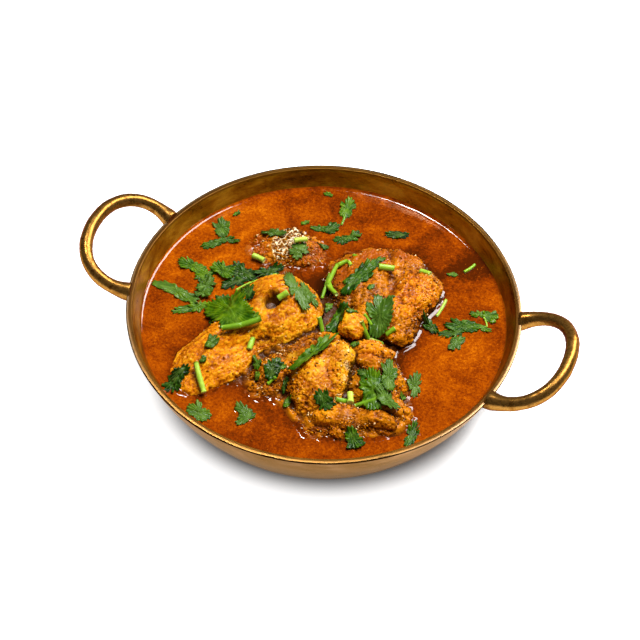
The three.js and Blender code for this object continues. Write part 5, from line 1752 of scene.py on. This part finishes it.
def ball():
    """Corners and faces of an icosahedron: (0, +-1, +-golden ratio) and its turns, scaled to 1."""
    g = (1 + math.sqrt(5)) / 2
    corners = np.array([(-1, g, 0), (1, g, 0), (-1, -g, 0), (1, -g, 0), (0, -1, g), (0, 1, g),
                        (0, -1, -g), (0, 1, -g), (g, 0, -1), (g, 0, 1), (-g, 0, -1), (-g, 0, 1)])
    faces = np.array([(0, 11, 5), (0, 5, 1), (0, 1, 7), (0, 7, 10), (0, 10, 11), (1, 5, 9), (5, 11, 4),
                      (11, 10, 2), (10, 7, 6), (7, 1, 8), (3, 9, 4), (3, 4, 2), (3, 2, 6), (3, 6, 8),
                      (3, 8, 9), (4, 9, 5), (2, 4, 11), (6, 2, 10), (8, 6, 7), (9, 8, 1)])
    return corners / math.hypot(1, g), faces


def scatter(places, sizes, random):
    """Copies of the ball at places, each with its own size, stretch along a level direction and
    small dents: points, faces, and how many points each copy has."""
    corners, faces = ball()
    turn = random.uniform(0, 2 * math.pi, len(places))
    long = 1 + CRUMB_STRETCH * random.random(len(places))
    dents = random.uniform(*CRUMB_DENTS, (len(places), len(corners)))
    shape = corners[None] * dents[..., None] * sizes[:, None, None]
    x, y = shape[..., 0] * long[:, None], shape[..., 1] / long[:, None]
    c, s = np.cos(turn)[:, None], np.sin(turn)[:, None]
    shape = np.stack([x * c - y * s, x * s + y * c, shape[..., 2] * CRUMB_HEIGHT], -1)
    points = (places[:, None] + shape).reshape(-1, 3)
    starts = np.arange(len(places))[:, None, None] * len(corners)
    return points, [(faces[None] + starts).reshape(-1, 3)], len(corners)


def make_crumbs():
    """Crumbs on the upper points of the pieces, where these are not under another piece."""
    random = np.random.default_rng(CRUMB_SEED)
    places = []
    for piece, (points, _, _) in zip(PIECES, SHAPES):
        top = points[: piece["grid"] ** 2]
        chosen = top[random.integers(0, len(top), int(CRUMBS_PER_COAT * piece["coat"]))]
        shown = chosen[:, 2] > sample(HEIGHTS, chosen[:, 0], chosen[:, 1]) - HIDDEN
        places.append(chosen[shown])
    places = np.concatenate(places)
    sizes = random.uniform(*CRUMB_SIZES, len(places))
    points, faces, each = scatter(places, sizes, random)
    tint = np.repeat(random.random(len(places)), each)
    # A tenth of the crumbs are pale: painted highlights that stand for small glints.
    layers = {"relief": 0.3 + 0.7 * tint, "gold": np.clip(3 * tint - 2, 0, 1), "pale": 0.75 * (tint > 0.9),
              "film": 0 * tint, "crevice_shade": 0 * tint}
    add_piece("masala_crumbs", points, outward(points, faces), MASALA, (), layers)


make_crumbs()

# %% [markdown]
# ## Camera
# Places of the camera and the lamps are given as the camera sees them: to the right, away from
# it, and up. One function turns them into the dish's own coordinates.

# %% Camera
CAMERA_TURN = math.radians(-18.62)  # the handles' line is turned from the picture's width
CAMERA_RISE = math.radians(48.82)
CAMERA_ROLL = math.radians(2.18)
CAMERA_DISTANCE = 953.6             # from the middle of the rim
PICTURE = 640                       # width in pixels, in which the next two are counted
FOCAL_PIXELS = 1886.2
SHIFT_PIXELS = (4.3, -16.1)
SENSOR = 36.0


def as_seen(right, away, up):
    """The dish's own coordinates of a direction or place that is given from the camera's side."""
    c, s = math.cos(CAMERA_TURN), math.sin(CAMERA_TURN)
    return Vector((right * c + away * s, -right * s + away * c, up))


def add_camera():
    """Camera whose right, up and back axes come from its turn, rise and roll."""
    data = bpy.data.cameras.new("camera")
    data.sensor_width = SENSOR
    data.lens = FOCAL_PIXELS / PICTURE * SENSOR
    data.shift_x = -SHIFT_PIXELS[0] / PICTURE
    data.shift_y = SHIFT_PIXELS[1] / PICTURE
    data.clip_start, data.clip_end = 0.05, 20
    back = as_seen(0, -math.cos(CAMERA_RISE), math.sin(CAMERA_RISE))
    right = as_seen(1, 0, 0)
    up = back.cross(right)
    c, s = math.cos(CAMERA_ROLL), math.sin(CAMERA_ROLL)
    axes = Matrix((c * right + s * up, c * up - s * right, back)).transposed()
    place = back * CAMERA_DISTANCE + Vector((0, 0, RIM_HEIGHT))
    camera = add_object("camera", data)
    camera.matrix_world = Matrix.Translation(place * MM) @ axes.to_4x4()
    bpy.context.scene.camera = camera


add_camera()
bpy.context.scene.view_settings.view_transform = "Standard"

# %% [markdown]
# ## Lamps
# Light and reflections are set apart here. A big soft lamp overhead and one in front light the
# dish but give no reflection, as if behind a polarising sheet, because their mirror images would
# cover the gravy with white. Three smaller lamps do the opposite: they only show as reflections
# and draw the bright lines where the gravy climbs the wall and the chicken.

# %% Lamps
LIT_FROM_ALL_SIDES = 0.025

# Name, direction as seen, distance and size in metres, watts, whether it is reflected, and
# whether it lights what is dull.
LAMPS = (
    ("key_lamp", (0.26, 0.24, 0.93), 1.3, (0.7, 0.7), 34, False, True),
    ("back_right_lamp", (0.46, 0.44, 0.77), 0.95, (0.36, 0.62), 8, True, False),
    ("glint_lamp", (-0.15, 0.38, 0.92), 1.2, (0.18, 0.18), 5.5, True, False),
    ("rim_lamp", (0.62, 0.64, 0.45), 1.1, (0.3, 0.3), 3, True, False),
    ("front_lamp", (0.2, -0.85, 0.6), 1.4, (1.2, 0.8), 2.4, False, True),
)


def add_lamp(name, direction, distance, size, watts, reflected, lights):
    """A rectangular soft lamp that hangs in a direction as seen and faces the dish."""
    data = bpy.data.lights.new(name, "AREA")
    data.shape = "RECTANGLE"
    data.size, data.size_y = size
    data.energy = watts
    lamp = add_object(name, data)
    lamp.visible_glossy = reflected
    lamp.visible_diffuse = lights
    towards = as_seen(*direction).normalized()
    lamp.location = towards * distance + Vector((0, 0, RIM_HEIGHT * MM))
    lamp.rotation_euler = towards.to_track_quat("Z", "Y").to_euler()


def set_world(level):
    """Even white light from everywhere."""
    world = bpy.data.worlds.new("studio")
    world.use_nodes = True
    background = world.node_tree.nodes["Background"]
    background.inputs["Color"].default_value = (1, 1, 1, 1)
    background.inputs["Strength"].default_value = level
    bpy.context.scene.world = world


for lamp in LAMPS:
    add_lamp(*lamp)
set_world(LIT_FROM_ALL_SIDES)
print(len(LAMPS), "lamps")

# %% [markdown]
# ## Floor
# The dish stands on a plain white sheet that shines by itself, like a light table, so that it
# is white up to the picture's edge. Towards the foot its own light fades out in an oval, which
# paints the dish's contact shadow there.

# %% Floor
FLOOR_HALF = 3000.0
# The floor's own light is off near the foot, which paints the contact shadow.
SHADE_RADII = (72.0, 89.0)        # the sheet is dark up to the first radius, full from the second
SHADE_MIDDLE = 1.2                # the oval lies this far to the right
SHADE_WIDTHS = (1.082, 0.976, 1)  # its width and depth as seen, in radii


def floor_material():
    """White whose own light follows the distance from the foot, turned and stretched as seen: a
    painted contact shadow round the foot.
    """
    material, tree, shader = new_material("white_floor", Roughness=0.9, Emission_Color=(1, 1, 1, 1))
    grain = noise_of(tree, place_of(tree), 40.0, 2.0)
    white = blend_of(tree, grain, (0.88, 0.88, 0.88, 1), (0.9, 0.9, 0.9, 1))
    seen = put(tree, "Mapping", {"Vector": place_of(tree), "Location": as_seen(SHADE_MIDDLE, 0, 0),
                                 "Rotation": (0, 0, -CAMERA_TURN), "Scale": SHADE_WIDTHS},
               vector_type="TEXTURE").outputs["Vector"]
    away = put(tree, "VectorMath", {0: seen}, operation="LENGTH").outputs["Value"]
    values = {"Value": away, "From Min": SHADE_RADII[0], "From Max": SHADE_RADII[1]}
    glow = put(tree, "MapRange", values, interpolation_type="SMOOTHSTEP").outputs["Result"]
    feed(tree, shader, Base_Color=white, Emission_Strength=glow)
    return material


def add_floor():
    """A large flat square under the dish."""
    near, far = -FLOOR_HALF * MM, FLOOR_HALF * MM
    mesh = bpy.data.meshes.new("floor")
    mesh.from_pydata([(near, near, 0), (far, near, 0), (far, far, 0), (near, far, 0)], [], [(0, 1, 2, 3)])
    mesh.materials.append(floor_material())
    floor = add_object("floor", mesh)


add_floor()
